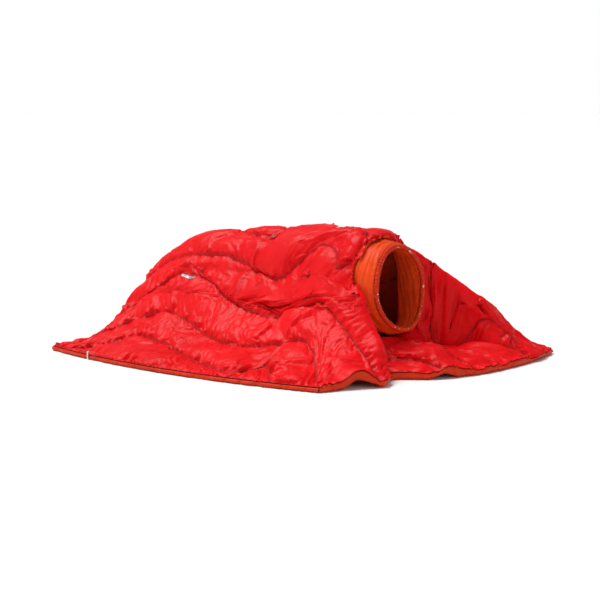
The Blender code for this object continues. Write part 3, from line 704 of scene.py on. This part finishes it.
# ---------------------------------------------------------------- materials
class Nodes:
    """A material's nodes, added one call at a time."""

    def __init__(self, name):
        self.material = bpy.data.materials.new(name)
        self.material.use_nodes = True
        self.tree = self.material.node_tree
        self.shader = self.tree.nodes["Principled BSDF"]

    def add(self, kind, links=(), **settings):
        node = self.tree.nodes.new("ShaderNode" + kind)
        for key, value in settings.items():
            setattr(node, key, value)
        for socket, value in dict(links).items():
            self.set(node, socket, value)
        return node

    def set(self, node, socket, value):
        target = node.inputs[socket]
        if isinstance(value, bpy.types.NodeSocket):
            self.tree.links.new(value, target)
        else:
            target.default_value = value

    def math(self, operation, a, b=0.0, clamp=False):
        node = self.add("Math", operation=operation, use_clamp=clamp)
        self.set(node, 0, a)
        self.set(node, 1, b)
        return node.outputs[0]

    def noise(self, vector, scale, detail=3.0, rough=0.55, stretch=(1, 1, 1)):
        mapping = self.add("Mapping", {"Vector": vector, "Scale": stretch})
        settings = {"Vector": mapping.outputs[0], "Scale": scale, "Detail": detail, "Roughness": rough}
        node = self.add("TexNoise", settings)
        return node.outputs["Fac"]

    def ramp(self, value, *stops):
        node = self.add("ValToRGB", {"Fac": value})
        points = node.color_ramp.elements
        while len(points) < len(stops):
            points.new(0.5)
        for point, (place, colour) in zip(points, stops):
            point.position = place
            point.color = (*colour, 1)
        return node.outputs["Color"]

    def mix(self, share, a, b, how="MIX"):
        node = self.add("Mix", data_type="RGBA", blend_type=how)
        self.set(node, 0, share)
        self.set(node, 6, (*a, 1) if isinstance(a, tuple) else a)
        self.set(node, 7, (*b, 1) if isinstance(b, tuple) else b)
        return node.outputs[2]

    def bump(self, height, strength, distance, below=None):
        links = {"Height": height, "Strength": strength, "Distance": distance}
        if below is not None:
            links["Normal"] = below
        return self.add("Bump", links).outputs[0]


def cloth_material(name, dark, light, roughness, sheen_tint, grid=0.0055, thread=0.00045, gloss=0.13):
    """Woven nylon: fine yarns with a stronger ripstop grid, creased and a little worn, with painted shade
    darkening the cloth close to each stitched line.
    """
    n = Nodes(name)
    flat = n.add("Attribute", attribute_name="cloth").outputs["Vector"]
    place = n.add("TexCoord").outputs["Object"]
    split = n.add("SeparateXYZ", {"Vector": flat})
    weave = None
    rip = None
    for axis in ("X", "Y"):
        across = split.outputs[axis]
        yarn = n.math("SINE", n.math("MULTIPLY", across, 2 * math.pi / thread))
        cell = n.math("FRACT", n.math("DIVIDE", across, grid))
        line = n.math("LESS_THAN", n.math("ABSOLUTE", n.math("SUBTRACT", cell, 0.5)), 0.055)
        weave = yarn if weave is None else n.math("MULTIPLY", weave, yarn)
        rip = line if rip is None else n.math("MAXIMUM", rip, line)
    crease = n.noise(place, 46, 5, 0.6)
    patch = n.noise(place, 7.5, 3)
    speckle = n.noise(flat, 900, 2)
    shade = n.math("ADD", n.math("MULTIPLY", patch, 0.5), n.math("MULTIPLY", crease, 0.5))
    colour = n.ramp(shade, (0.30, dark), (0.70, light))
    colour = n.mix(n.math("MULTIPLY", rip, 0.10), colour, tuple(c * 0.72 for c in dark))
    wear = n.math("MULTIPLY", n.math("SUBTRACT", speckle, 0.62, clamp=True), 0.5)
    colour = n.mix(wear, colour, tuple(min(1, c * 1.15 + 0.01) for c in light))
    # painted shade: the colour darkens towards each stitched line, standing in for the shade that falls into
    # the stitched grooves
    painted_seam_shade = n.math("SUBTRACT", 1.0, n.math("MULTIPLY", split.outputs["Z"], 1 / 0.0045), clamp=True)
    colour = n.mix(n.math("MULTIPLY", painted_seam_shade, 0.55), colour, tuple(c * 0.45 for c in dark))
    n.set(n.shader, "Base Color", colour)
    rough = n.math("ADD", n.math("MULTIPLY", crease, 0.16), roughness - 0.08)
    n.set(n.shader, "Roughness", n.math("SUBTRACT", rough, n.math("MULTIPLY", rip, 0.05)))
    n.shader.inputs["Sheen Weight"].default_value = 0.02
    n.shader.inputs["Sheen Roughness"].default_value = 0.45
    n.shader.inputs["Sheen Tint"].default_value = (*sheen_tint, 1)
    n.shader.inputs["Specular IOR Level"].default_value = gloss
    small = n.bump(crease, 0.55, 0.0024)
    relief = n.math("ADD", n.math("MULTIPLY", weave, 0.5), n.math("MULTIPLY", rip, 0.9))
    woven = n.bump(relief, 0.16, 0.00012, small)
    n.set(n.shader, "Normal", woven)
    return n.material


RED = cloth_material(
    "red_ripstop", (0.66, 0.0016, 0.004), (0.88, 0.0048, 0.009), 0.42, (1.0, 0.4, 0.4)
)
ORANGE = cloth_material(
    "orange_ripstop", (0.74, 0.050, 0.006), (0.92, 0.085, 0.012), 0.46, (1.0, 0.6, 0.4)
)
ORANGE_HEM = cloth_material(
    "orange_hem_ripstop", (0.50, 0.022, 0.004), (0.72, 0.045, 0.008), 0.50, (1.0, 0.6, 0.4)
)


def simple_material(name, colour, other, roughness, scale, metallic=0.0, depth=0.0002, strength=0.2):
    """A plain finish with the small variation that wear gives it."""
    n = Nodes(name)
    place = n.add("TexCoord").outputs["Object"]
    grain = n.noise(place, scale, 4, 0.6)
    n.set(n.shader, "Base Color", n.ramp(grain, (0.35, colour), (0.68, other)))
    n.set(n.shader, "Roughness", n.math("ADD", n.math("MULTIPLY", grain, 0.2), roughness - 0.1))
    n.shader.inputs["Metallic"].default_value = metallic
    n.set(n.shader, "Normal", n.bump(grain, strength, depth))
    return n.material


def label_material():
    """A woven label: white with a broad yellow bar."""
    n = Nodes("woven_label_cloth")
    split = n.add("SeparateXYZ", {"Vector": n.add("Attribute", attribute_name="cloth").outputs["Vector"]})
    u, v = split.outputs["X"], split.outputs["Y"]
    rib = n.math("SINE", n.math("MULTIPLY", u, 2 * math.pi / 0.0006))
    middle = n.math("ABSOLUTE", n.math("SUBTRACT", v, LABEL_SIZE[1] / 2))
    bar = n.math("LESS_THAN", middle, 0.0075)
    inside = n.math("LESS_THAN", n.math("ABSOLUTE", n.math("SUBTRACT", u, LABEL_SIZE[0] / 2)), 0.0052)
    bar = n.math("MULTIPLY", bar, inside)
    grain = n.noise(n.add("TexCoord").outputs["Object"], 700, 2)
    white = n.ramp(grain, (0.3, (0.72, 0.70, 0.64)), (0.7, (0.86, 0.84, 0.78)))
    n.set(n.shader, "Base Color", n.mix(bar, white, (0.86, 0.58, 0.04)))
    n.shader.inputs["Roughness"].default_value = 0.7
    n.shader.inputs["Sheen Weight"].default_value = 0.1
    n.set(n.shader, "Normal", n.bump(n.math("ADD", rib, grain), 0.4, 0.0001))
    return n.material


def reflective_material():
    """Reflective print: plain grey with a fine glass-bead grain."""
    n = Nodes("reflective_grey")
    place = n.add("TexCoord").outputs["Object"]
    beads = n.add("TexVoronoi", {"Vector": place, "Scale": 4200.0}).outputs["Distance"]
    grain = n.noise(place, 320, 3)
    n.set(n.shader, "Base Color", n.ramp(grain, (0.3, (0.26, 0.24, 0.25)), (0.7, (0.42, 0.40, 0.41))))
    n.shader.inputs["Metallic"].default_value = 0.35
    n.set(n.shader, "Roughness", n.math("ADD", n.math("MULTIPLY", grain, 0.2), 0.28))
    n.set(n.shader, "Normal", n.bump(beads, 0.3, 0.00005))
    return n.material


THREAD = simple_material("red_thread", (0.36, 0.002, 0.004), (0.58, 0.006, 0.010), 0.55, 900)
SNAP_RED = simple_material(
    "red_snap_enamel", (0.40, 0.003, 0.006), (0.56, 0.005, 0.010), 0.32, 260, 0.0, 0.0001, 0.15
)
STEEL = simple_material("brushed_steel", (0.42, 0.42, 0.42), (0.60, 0.60, 0.60), 0.34, 300, 1.0, 0.0001, 0.2)
ELASTIC = simple_material("white_elastic", (0.66, 0.65, 0.62), (0.80, 0.79, 0.76), 0.75, 1400)
LABEL = label_material()
REFLECTIVE = reflective_material()


def dress(obj, material):
    obj.data.materials.clear()
    obj.data.materials.append(material)


# ---------------------------------------------------------------- the quilting
quilt = Quilt(COLUMNS, ROWS)
thick = puff(quilt, LOFT)
from_snap = np.hypot(quilt.base[..., 0] - SNAP_AT[0], quilt.base[..., 1] - SNAP_AT[1])
thick = thick * (0.35 + 0.65 * ease((from_snap - 0.004) / 0.022))
lumps = 0.0013 * noise(quilt.arc / 0.055, quilt.t * FLAT_WIDTH / 0.04, 31) * ease(quilt.distance / 0.02)
middle = quilt.base.copy()
middle[..., 2] += SEAM_LIFT
calm = ease((from_snap - 0.006) / 0.02) * ease((quilt.neck - 1.04) / 0.22)
in_channel = ease(quilt.distance / 0.006)
relief = (puckers(quilt, 11) + lumps + tight_folds(quilt.base) * in_channel) * calm
shell_points = middle + quilt.out * (thick + relief)[..., None]
shell_points[..., 2] = np.maximum(shell_points[..., 2], 0.009)
by_neck = 1 - ease((quilt.neck - 1.08) / 0.12)
gathers = 0.3 * puckers(quilt, 23) * (1 - by_neck)
lining_points = middle - quilt.out * (0.55 * thick + gathers + 0.0015 + 0.0012 * by_neck)[..., None]
lining_points[..., 2] = np.maximum(lining_points[..., 2], 0.0008)
cloth_at = np.stack([quilt.s * FLAT_LENGTH, quilt.t * FLAT_WIDTH, quilt.distance], -1)


def clear_of_collar(points):
    """Points pushed out of the collar's tube and off the floor."""
    y = (points[..., 1] - NECK_Y) / COLLAR_HALF_Y
    z = (points[..., 2] - COLLAR_Z) / COLLAR_HALF_Z
    reach = np.hypot(y, z)
    beside = ease((points[..., 0] - 0.122) / 0.02) * (1 - ease((points[..., 0] - 0.222) / 0.012))
    push = np.maximum(1, (1 + 0.12 * beside) / np.maximum(reach, 0.3))
    push = np.where((beside > 0) & (reach > 0.6), 1 + (push - 1) * ease(beside * 3), 1)
    out = points.copy()
    out[..., 1] = NECK_Y + y * push * COLLAR_HALF_Y
    out[..., 2] = np.maximum(COLLAR_Z + z * push * COLLAR_HALF_Z, 0.0008)
    return out


shell_points = clear_of_collar(shell_points)


def kept_cells(step):
    """Cells outside the neck, for a grid that takes every step-th row and column."""
    s, t = quilt.s[::step, ::step], quilt.t[::step, ::step]
    return neck_out((s[:-1, :-1] + s[1:, 1:]) / 2, (t[:-1, :-1] + t[1:, 1:]) / 2)[2] > 1.0


shell, used = surface("quilt_shell", shell_points + SHIFT, kept_cells(1))
flat_places(shell, cloth_at.reshape(-1, 3)[used])
pinned = np.zeros(quilt.t.shape, bool)
pinned[:, :: quilt.rows] = True
pinned[[0, -1]] = pinned[:, [0, -1]] = True
pinned |= (quilt.neck < 1.08) | (quilt.width < 0.012) | (from_snap < 0.008)
depth = np.maximum(0.5 * thick - 0.0006, 0)
inflate(shell, pinned.reshape(-1)[used], quilt.out.reshape(-1, 3)[used], depth.reshape(-1)[used], 10)
dress(shell, RED)
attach(shell, "root")
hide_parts("shell_outer", *[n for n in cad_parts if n.startswith("fill_channel")])

def tree_of(obj):
    return BVHTree.FromPolygons([v.co for v in obj.data.vertices], [p.vertices for p in obj.data.polygons])


def kept_beneath(points, tree, gap, inner):
    """Points moved to lie at least gap inside the shell, away from the hems."""
    out = points.copy()
    for i, j in np.argwhere(inner).tolist():
        place = Vector(points[i, j] + SHIFT)
        hit, normal, _, _ = tree.find_nearest(place)
        if (place - hit).dot(normal) > -gap:
            out[i, j] = np.array(hit - normal * gap) - SHIFT
    out[..., 2] = np.maximum(out[..., 2], 0.0008)
    return out


SHELL_TREE = tree_of(shell)
inner = (hem_distance(quilt) > 0.008) & (quilt.neck > 1.10)
inner[1::2] = inner[:, 1::2] = False
lining_points = clear_of_collar(lining_points)
for gap in LINING_GAPS:
    lining_points = kept_beneath(lining_points, SHELL_TREE, gap, inner)

lining, used = surface("quilt_lining", lining_points[::2, ::2] + SHIFT, kept_cells(2), flip=True)
flat_places(lining, cloth_at[::2, ::2].reshape(-1, 3)[used])
dress(lining, ORANGE)
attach(lining, "root")
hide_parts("lining")


# ---------------------------------------------------------------- hem facings
def swept(name, sections, closed, places=None):
    """A solid along a row of sections, each the same number of points in a loop."""
    steps, count = sections.shape[:2]
    index = np.arange(steps * count).reshape(steps, count)
    beyond = np.roll(index, -1, 0) if closed else index[1:]
    here = index if closed else index[:-1]
    quads = np.stack([here, beyond, np.roll(beyond, -1, 1), np.roll(here, -1, 1)], -1).reshape(-1, 4)
    faces = [tuple(q) for q in quads.tolist()]
    if not closed:
        faces += [tuple(index[0][::-1].tolist()), tuple(index[-1].tolist())]
    mesh = bpy.data.meshes.new(name)
    mesh.from_pydata([tuple(p) for p in sections.reshape(-1, 3)], [], faces)
    mesh.polygons.foreach_set("use_smooth", np.ones(len(faces), bool))
    mesh.update()
    obj = bpy.data.objects.new(name, mesh)
    bpy.context.scene.collection.objects.link(obj)
    tidy_normals(obj)
    flat_places(obj, sections.reshape(-1, 3)[:, :2] if places is None else places.reshape(-1, 2))
    return obj


def tidy_normals(obj):
    """Turns a closed solid's faces outwards."""
    work = bmesh.new()
    work.from_mesh(obj.data)
    bmesh.ops.recalc_face_normals(work, faces=work.faces)
    work.to_mesh(obj.data)
    work.free()


FACING_STEPS = 11
facings = []
sides = {
    "near": (slice(None), 0),
    "front": (-1, slice(None)),
    "far": (slice(None, None, -1), -1),
    "rear": (0, slice(None, None, -1)),
}
for number, (side, place) in enumerate(sides.items()):
    top = shell_points[place]
    bottom = lining_points[place]
    way = np.gradient(relaxed(top[:, None, :2], 30, np.ones((len(top), 1)))[:, 0], axis=0)
    way /= np.linalg.norm(way, axis=1, keepdims=True)
    out = np.stack([way[:, 1], -way[:, 0], np.zeros(len(way))], -1)
    arc = np.concatenate([[0], np.cumsum(np.linalg.norm(np.diff(top, axis=0), axis=1))])
    flat_row = np.zeros_like(arc)
    tuck = np.clip(1 - np.abs(noise(arc / 0.030, flat_row + 4.3 * number, 51)) * 11, 0, 1)
    tuck = tuck * (0.4 + 0.6 * (noise(arc / 0.05, flat_row + 7.7 * number, 52) > -0.1))
    swell = 1 + 0.5 * noise(arc / 0.021, flat_row + 2.1 * number, 53)
    loops = []
    for depth in (0.0, 0.0006):
        line = []
        for step in range(FACING_STEPS):
            u = step / (FACING_STEPS - 1)
            bow = math.sin(math.pi * u)
            bulge = 0.0034 * bow**0.7 * swell - 0.0024 * tuck * bow - 0.0008
            crinkle = 0.0004 * noise(arc / 0.006, flat_row + 3 * u + number, 54)
            height = top[:, 2] - 0.0012 + (np.minimum(bottom[:, 2], 0.4) - top[:, 2] + 0.0012) * u
            at = top * (1 - u) + bottom * u
            at = at + out * (bulge + crinkle - depth)[:, None]
            at[:, 2] = np.maximum(height, 0.0004 + depth * 0.5)
            line.append(at)
        loops.append(np.stack(line, 1))
    sections = np.concatenate([loops[0], loops[1][:, ::-1]], 1)
    across = np.linspace(0, 0.03, sections.shape[1])
    places = np.stack(np.broadcast_arrays(arc[:, None], across[None]), -1)
    band = swept(f"facing_{side}", sections + SHIFT, False, places)
    dress(band, ORANGE_HEM)
    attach(band, "root")
    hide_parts(f"hem_facing_{side}")
    facings.append(band)


# ---------------------------------------------------------------- collar
def collar_ring(turn, w):
    """Middle of the collar and the way out of it: w runs from the base to the mouth."""
    down = -np.cos(turn)
    aside = np.sin(turn)
    base = ring(down, aside)
    end = np.where(down < 0, COLLAR_TOP_X, COLLAR_BOTTOM_X)
    mouth_x = COLLAR_SIDE_X + (end - COLLAR_SIDE_X) * down**2
    start_x = base[..., 0] - 0.004
    x = start_x + (mouth_x - start_x) * w
    share = 1 + (COLLAR_MOUTH_SHARE - 1) * w
    out = np.stack([np.zeros_like(aside), aside, -down], -1)
    centre = np.stack([x, NECK_Y + 0 * x, COLLAR_Z + 0 * x], -1)
    reach = np.stack([0 * x, COLLAR_HALF_Y * share * aside, -COLLAR_HALF_Z * share * down], -1)
    return centre + reach, out


TURNS = 420
ACROSS = 34
turn, w = np.meshgrid(np.linspace(0, 2 * np.pi, TURNS + 1)[:-1], np.linspace(0, 1, ACROSS), indexing="ij")
girth = turn / (2 * np.pi) * 0.45
line, out = collar_ring(turn, w)
loop_u, loop_v = 5 * np.cos(turn), 5 * np.sin(turn)


def around(scale, seed, stretch=1.0):
    """Noise round the collar that closes on itself."""
    return noise(loop_u * scale + 3 * w * stretch, loop_v * scale + 17 + 5 * w * stretch, seed)


plump = np.sin(np.pi * np.clip(w * 0.94 + 0.03, 0, 1)) ** 0.5
bands = 0.0019 * around(0.45, 61, 1.5) + 0.0009 * around(0.8, 62, 2.2)
fold_lines = -0.0016 * np.exp(-(((w - 0.36 - 0.05 * around(0.25, 63, 0)) / 0.045) ** 2))
fold_lines -= 0.0013 * np.exp(-(((w - 0.66 - 0.05 * around(0.3, 64, 0)) / 0.04) ** 2))
pleats = (0.45 - np.abs(around(3.1, 65, 0.25))) * -0.0022 * np.exp(-(1 - w) / 0.16)
pleats += (0.45 - np.abs(around(2.2, 66, 0.3))) * -0.0016 * np.exp(-w / 0.12)
outside = line + out * (0.0016 + 0.0052 * plump + bands + fold_lines + pleats)[..., None]
inside = line - out * (0.0012 + 0.0036 * plump - 0.5 * bands - pleats)[..., None]
sections = np.concatenate([outside, inside[:, ::-1]], 1)
flat = np.stack([girth, w * 0.05], -1)
collar = swept("collar_pad", sections + SHIFT, True, np.concatenate([flat, flat[:, ::-1] + 0.5], 1))
dress(collar, ORANGE)
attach(collar, "root")
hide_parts("collar_outer", "collar_fill", "collar_lining")

angles = np.radians(np.arange(0, 360, 22.5))
turn, angle = np.meshgrid(np.linspace(0, 2 * np.pi, 2 * TURNS + 1)[:-1], angles, indexing="ij")
loop_u, loop_v, w = 5 * np.cos(turn), 5 * np.sin(turn), np.zeros_like(turn)
gather = np.clip(1 - np.abs(around(3.4, 71, 0)) * 2.7, 0, 1)
gather = gather + 0.6 * np.clip(1 - np.abs(around(6.0, 72, 0)) * 3, 0, 1)
radius = CASING_RADIUS * (1.10 + 0.18 * around(1.4, 73, 0)) - 0.0013 * gather
rim, out = collar_ring(turn, np.ones_like(turn))
ahead = np.array((1.0, 0, 0))
rim = rim + ahead * (CASING_RADIUS - 0.0004)
tube = rim + ahead * (radius * np.cos(angle))[..., None] + out * (radius * np.sin(angle))[..., None]
casing = swept("collar_casing_gathered", tube + SHIFT, True, np.stack([turn * 0.07, angle * 0.005], -1))
dress(casing, ORANGE_HEM)
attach(casing, "root")
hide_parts("collar_casing")


# ---------------------------------------------------------------- stitching
def threads(name, path, out, pitch, length, radius):
    """A row of stitches along a path, each a short bent thread."""
    arc = np.concatenate([[0], np.cumsum(np.linalg.norm(np.diff(path, axis=0), axis=1))])
    starts = np.arange(pitch / 2, arc[-1] - length, pitch)
    offsets = np.array([0, 0.22, 0.5, 0.78, 1.0])
    lift = np.array([-0.7, 0.35, 0.8, 0.35, -0.7]) * radius
    thin = np.array([0.5, 0.95, 1.0, 0.95, 0.5]) * radius
    at = starts[:, None] + offsets * length
    centre = np.stack([np.interp(at, arc, path[:, k]) for k in range(3)], -1)
    up = np.stack([np.interp(at, arc, out[:, k]) for k in range(3)], -1)
    way = centre[:, -1:] - centre[:, :1]
    way = way / np.maximum(np.linalg.norm(way, axis=-1, keepdims=True), 1e-9)
    side = np.cross(up, way)
    side /= np.maximum(np.linalg.norm(side, axis=-1, keepdims=True), 1e-9)
    centre = centre + up * lift[:, None]
    angle = np.arange(6) * np.pi / 3
    rings = (
        centre[:, :, None]
        + side[:, :, None] * (np.cos(angle)[None, None, :, None] * thin[None, :, None, None])
        + up[:, :, None] * (np.sin(angle)[None, None, :, None] * thin[None, :, None, None])
    )
    n = len(starts)
    index = np.arange(n * 30).reshape(n, 5, 6)
    a, b = index[:, :-1], index[:, 1:]
    quads = np.stack([a, b, np.roll(b, -1, 2), np.roll(a, -1, 2)], -1).reshape(-1, 4).tolist()
    ends = index[:, 0, ::-1].tolist() + index[:, -1].tolist()
    mesh = bpy.data.meshes.new(name)
    mesh.from_pydata(rings.reshape(-1, 3).tolist(), [], [tuple(f) for f in quads] + [tuple(f) for f in ends])
    mesh.polygons.foreach_set("use_smooth", np.ones(len(mesh.polygons), bool))
    obj = bpy.data.objects.new(name, mesh)
    bpy.context.scene.collection.objects.link(obj)
    tidy_normals(obj)
    dress(obj, THREAD)
    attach(obj, "root")
    return obj


for k in range(LINES):
    row = (k + 1) * quilt.rows
    path = shell_points[:, row] + SHIFT
    ok = (quilt.width[:, row] > 0.006) & (quilt.neck[:, row] > 1.02)
    split = quilt.s_line > NECK_S
    for part, mask in (("rear", ok & ~split), ("front", ok & split)):
        if mask.sum() < 6:
            continue
        name = f"stitches_{k + 1}_{part}"
        rows = threads(name, path[mask], quilt.out[mask, row], 0.0034, 0.0026, 0.00042)
        stands_for = [f"quilt_stitch_{k + 1}_{part}"] + [f"quilt_stitch_{k + 1}"] * (part == "rear")
        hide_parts(*[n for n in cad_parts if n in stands_for])


# ---------------------------------------------------------------- trims on the shell
def axes_at(x, y):
    """Centre and axes on the shell over a place on the floor: along, across, out."""
    place = Vector((x + SHIFT[0], y + SHIFT[1], 1))
    centre, _, _, _ = SHELL_TREE.ray_cast(place, Vector((0, 0, -1)))
    out = Vector()
    for dx, dy in ((0, 0), (1, 0), (-1, 0), (0, 1), (0, -1)):
        out += SHELL_TREE.ray_cast(place + Vector((dx, dy, 0)) * 0.006, Vector((0, 0, -1)))[1]
    out.normalize()
    if out.z < 0:
        out = -out
    along = Vector((1, 0, 0))
    along = (along - out * along.dot(out)).normalized()
    return centre, along, out.cross(along), out


def patch(name, at, size, thick, lift, steps, turned=0.0):
    """A thin piece on the shell that follows its surface."""
    centre, along, across, out = axes_at(*at)
    along, across = (
        along * math.cos(turned) + across * math.sin(turned),
        across * math.cos(turned) - along * math.sin(turned),
    )
    grid = np.zeros((steps[0] + 1, steps[1] + 1, 3))
    for i in range(steps[0] + 1):
        for j in range(steps[1] + 1):
            place = centre + along * size[0] * (i / steps[0] - 0.5) + across * size[1] * (j / steps[1] - 0.5)
            hit = SHELL_TREE.ray_cast(place + out * 0.03, -out)[0] or place
            grid[i, j] = hit + out * lift
    smooth = relaxed(grid, 12, np.ones(grid.shape[:2]))
    top = np.maximum((smooth - grid) @ np.array(out), 0)[..., None] * np.array(out) + grid
    ends = np.minimum.reduce(np.meshgrid(
        np.minimum(np.arange(steps[0] + 1), steps[0] - np.arange(steps[0] + 1)),
        np.minimum(np.arange(steps[1] + 1), steps[1] - np.arange(steps[1] + 1)),
        indexing="ij",
    ))
    upper = top + np.array(out) * (thick * np.where(ends == 0, 0.55, 1.0))[..., None]
    ni, nj = steps[0] + 1, steps[1] + 1
    index = np.arange(ni * nj).reshape(ni, nj)
    faces = []
    for low, base in ((True, 0), (False, ni * nj)):
        q = np.stack([index[:-1, :-1], index[1:, :-1], index[1:, 1:], index[:-1, 1:]], -1)
        q = q.reshape(-1, 4) + base
        faces += [tuple(f[::-1]) if low else tuple(f) for f in q.tolist()]
    rim = list(index[:-1, 0]) + list(index[-1, :-1]) + list(index[:0:-1, -1]) + list(index[0, :0:-1])
    for a, b in zip(rim, rim[1:] + rim[:1]):
        faces.append((int(a), int(b), int(b) + ni * nj, int(a) + ni * nj))
    mesh = bpy.data.meshes.new(name)
    mesh.from_pydata(np.concatenate([top.reshape(-1, 3), upper.reshape(-1, 3)]).tolist(), [], faces)
    mesh.polygons.foreach_set("use_smooth", np.ones(len(faces), bool))
    obj = bpy.data.objects.new(name, mesh)
    bpy.context.scene.collection.objects.link(obj)
    tidy_normals(obj)
    u, v = np.meshgrid(np.linspace(0, size[0], ni), np.linspace(0, size[1], nj), indexing="ij")
    flat_places(obj, np.tile(np.stack([u, v], -1).reshape(-1, 2), (2, 1)))
    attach(obj, "root")
    return obj


label = patch("woven_label", LABEL_AT, LABEL_SIZE, 0.0007, 0.0004, (16, 30))
dress(label, LABEL)
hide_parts("neck_label")
mark = patch("reflective_print", MARK_AT, MARK_SIZE, 0.00015, 0.0005, (40, 10), turned=MARK_TURNED)
dress(mark, REFLECTIVE)
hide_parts("reflective_mark")


def turned_solid(name, centre, along, across, out, profile, sides=56):
    """A solid of revolution: profile is (radius, height) from its foot to its top."""
    angle = np.arange(sides) * 2 * np.pi / sides
    radius = np.array([r for r, _ in profile])
    height = np.array([z for _, z in profile])
    along, across, out, centre = (np.array(v) for v in (along, across, out, centre))
    rings = (
        centre
        + along * (radius[None, :, None] * np.cos(angle)[:, None, None])
        + across * (radius[None, :, None] * np.sin(angle)[:, None, None])
        + out * height[None, :, None]
    )
    return swept(name, rings, True)


centre, along, across, out = axes_at(*SNAP_AT)
cap_profile = [
    (0.0004, 0.0000), (0.0062, 0.0000), (0.0074, 0.0004), (0.0079, 0.0012),
    (0.0078, 0.0020), (0.0072, 0.0027), (0.0063, 0.0030), (0.0054, 0.0028),
    (0.0047, 0.0022), (0.0043, 0.0017), (0.0034, 0.0015), (0.0018, 0.0016),
    (0.0004, 0.0016),
]
cap = turned_solid("snap_stud_cap", centre + out * 0.0006, along, across, out, cap_profile)
dress(cap, SNAP_RED)
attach(cap, "root")
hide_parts("snap_cap")
socket_profile = [
    (0.0004, 0.0000), (0.0050, 0.0000), (0.0062, -0.0005),
    (0.0067, -0.0014), (0.0060, -0.0022), (0.0040, -0.0024),
    (0.0036, -0.0012), (0.0004, -0.0012),
]
LINING_TREE = tree_of(lining)
hit = LINING_TREE.ray_cast(Vector((centre.x, centre.y, 0.02)), Vector((0, 0, 1)))[0]
socket = turned_solid("snap_stud_socket", hit - out * 0.0004, along, across, out, socket_profile)
dress(socket, STEEL)
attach(socket, "root")
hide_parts("snap_socket")

# size tab on the near hem
facing_tree = tree_of(facings[0])
foot, way, _, _ = facing_tree.ray_cast(Vector((TAB_X + SHIFT[0], -1, 0.006)), Vector((0, 1, 0)))
way = Vector((way.x, way.y, 0)).normalized()
if way.y > 0:
    way = -way
side = Vector((-way.y, way.x, 0))
tab_line = [
    (0.0000, 0.0135), (0.0010, 0.0150), (0.0020, 0.0140),
    (0.0022, 0.0100), (0.0026, 0.0060), (0.0021, 0.0012),
]
tab_line += [(p[0] - 0.0007, p[1]) for p in tab_line[::-1]]
tab_sections = []
for share in np.linspace(-1, 1, 5):
    section = [foot + way * (away + 0.0002) + side * share * 0.0017 for away, _ in tab_line]
    for point, (_, height) in zip(section, tab_line):
        point.z = height
    tab_sections.append([list(p) for p in section])
tab = swept("size_tab", np.array(tab_sections), False)
dress(tab, LABEL)
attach(tab, "root")
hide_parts("hem_tab")

# the elastic inside the casing keeps its CAD shape
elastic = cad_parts["collar_elastic"]
dress(elastic, ELASTIC)

# ---------------------------------------------------------------- floor, light, camera
floor_mesh = bpy.data.meshes.new("floor")
floor_mesh.from_pydata([(-40, -40, 0), (40, -40, 0), (40, 40, 0), (-40, 40, 0)], [], [(0, 1, 2, 3)])
floor = bpy.data.objects.new("floor", floor_mesh)
bpy.context.scene.collection.objects.link(floor)
ground = Nodes("pale_floor")
ground.set(ground.shader, "Base Color", (0.93, 0.93, 0.93, 1))
ground.set(ground.shader, "Roughness", 0.7)
floor_mesh.materials.append(ground.material)

world = bpy.data.worlds.new("studio")
bpy.context.scene.world = world
world.use_nodes = True
world.node_tree.nodes["Background"].inputs["Color"].default_value = (1, 1, 1, 1)
# white round the horizon and dimmer overhead
tree = world.node_tree
height = tree.nodes.new("ShaderNodeSeparateXYZ")
tree.links.new(tree.nodes.new("ShaderNodeTexCoord").outputs["Generated"], height.inputs[0])
fade = tree.nodes.new("ShaderNodeMapRange")
for socket, value in {"From Min": 0.12, "From Max": 0.34, "To Min": 1.0, "To Max": 0.24}.items():
    fade.inputs[socket].default_value = value
tree.links.new(height.outputs["Z"], fade.inputs["Value"])
tree.links.new(fade.outputs["Result"], tree.nodes["Background"].inputs["Strength"])


def soft_light(name, kind, place, power, size):
    lamp = bpy.data.lights.new(name, kind)
    lamp.energy = power
    if kind == "SUN":
        lamp.angle = size
    else:
        lamp.size = size
    obj = bpy.data.objects.new(name, lamp)
    obj.location = place
    obj.rotation_euler = (Vector((0, 0, 0.08)) - Vector(place)).to_track_quat("-Z", "Y").to_euler()
    bpy.context.scene.collection.objects.link(obj)


soft_light("overhead", "SUN", (-0.9, -0.3, 2.7), 2.9, math.radians(32))
soft_light("left_light", "AREA", (-1.5, -1.6, 1.3), 5, 0.7)
soft_light("right_light", "AREA", (2.2, -0.9, 1.0), 4, 0.8)

camera_data = bpy.data.cameras.new("camera")
camera = bpy.data.objects.new("camera", camera_data)
bpy.context.scene.collection.objects.link(camera)
AZIMUTH = math.radians(40)
ELEVATION = math.radians(8)
target = Vector((0, 0, 0.08)) + Vector(SHIFT)
back = Vector(
    (
        math.sin(AZIMUTH) * math.cos(ELEVATION),
        -math.cos(AZIMUTH) * math.cos(ELEVATION),
        math.sin(ELEVATION),
    )
)
camera.location = target + back * 2.6
camera.rotation_euler = (-back).to_track_quat("-Z", "Y").to_euler()
camera_data.sensor_width = 36
camera_data.lens = 89.1
camera_data.shift_y = 0.0167
bpy.context.scene.camera = camera
bpy.context.scene.view_settings.view_transform = "Standard"
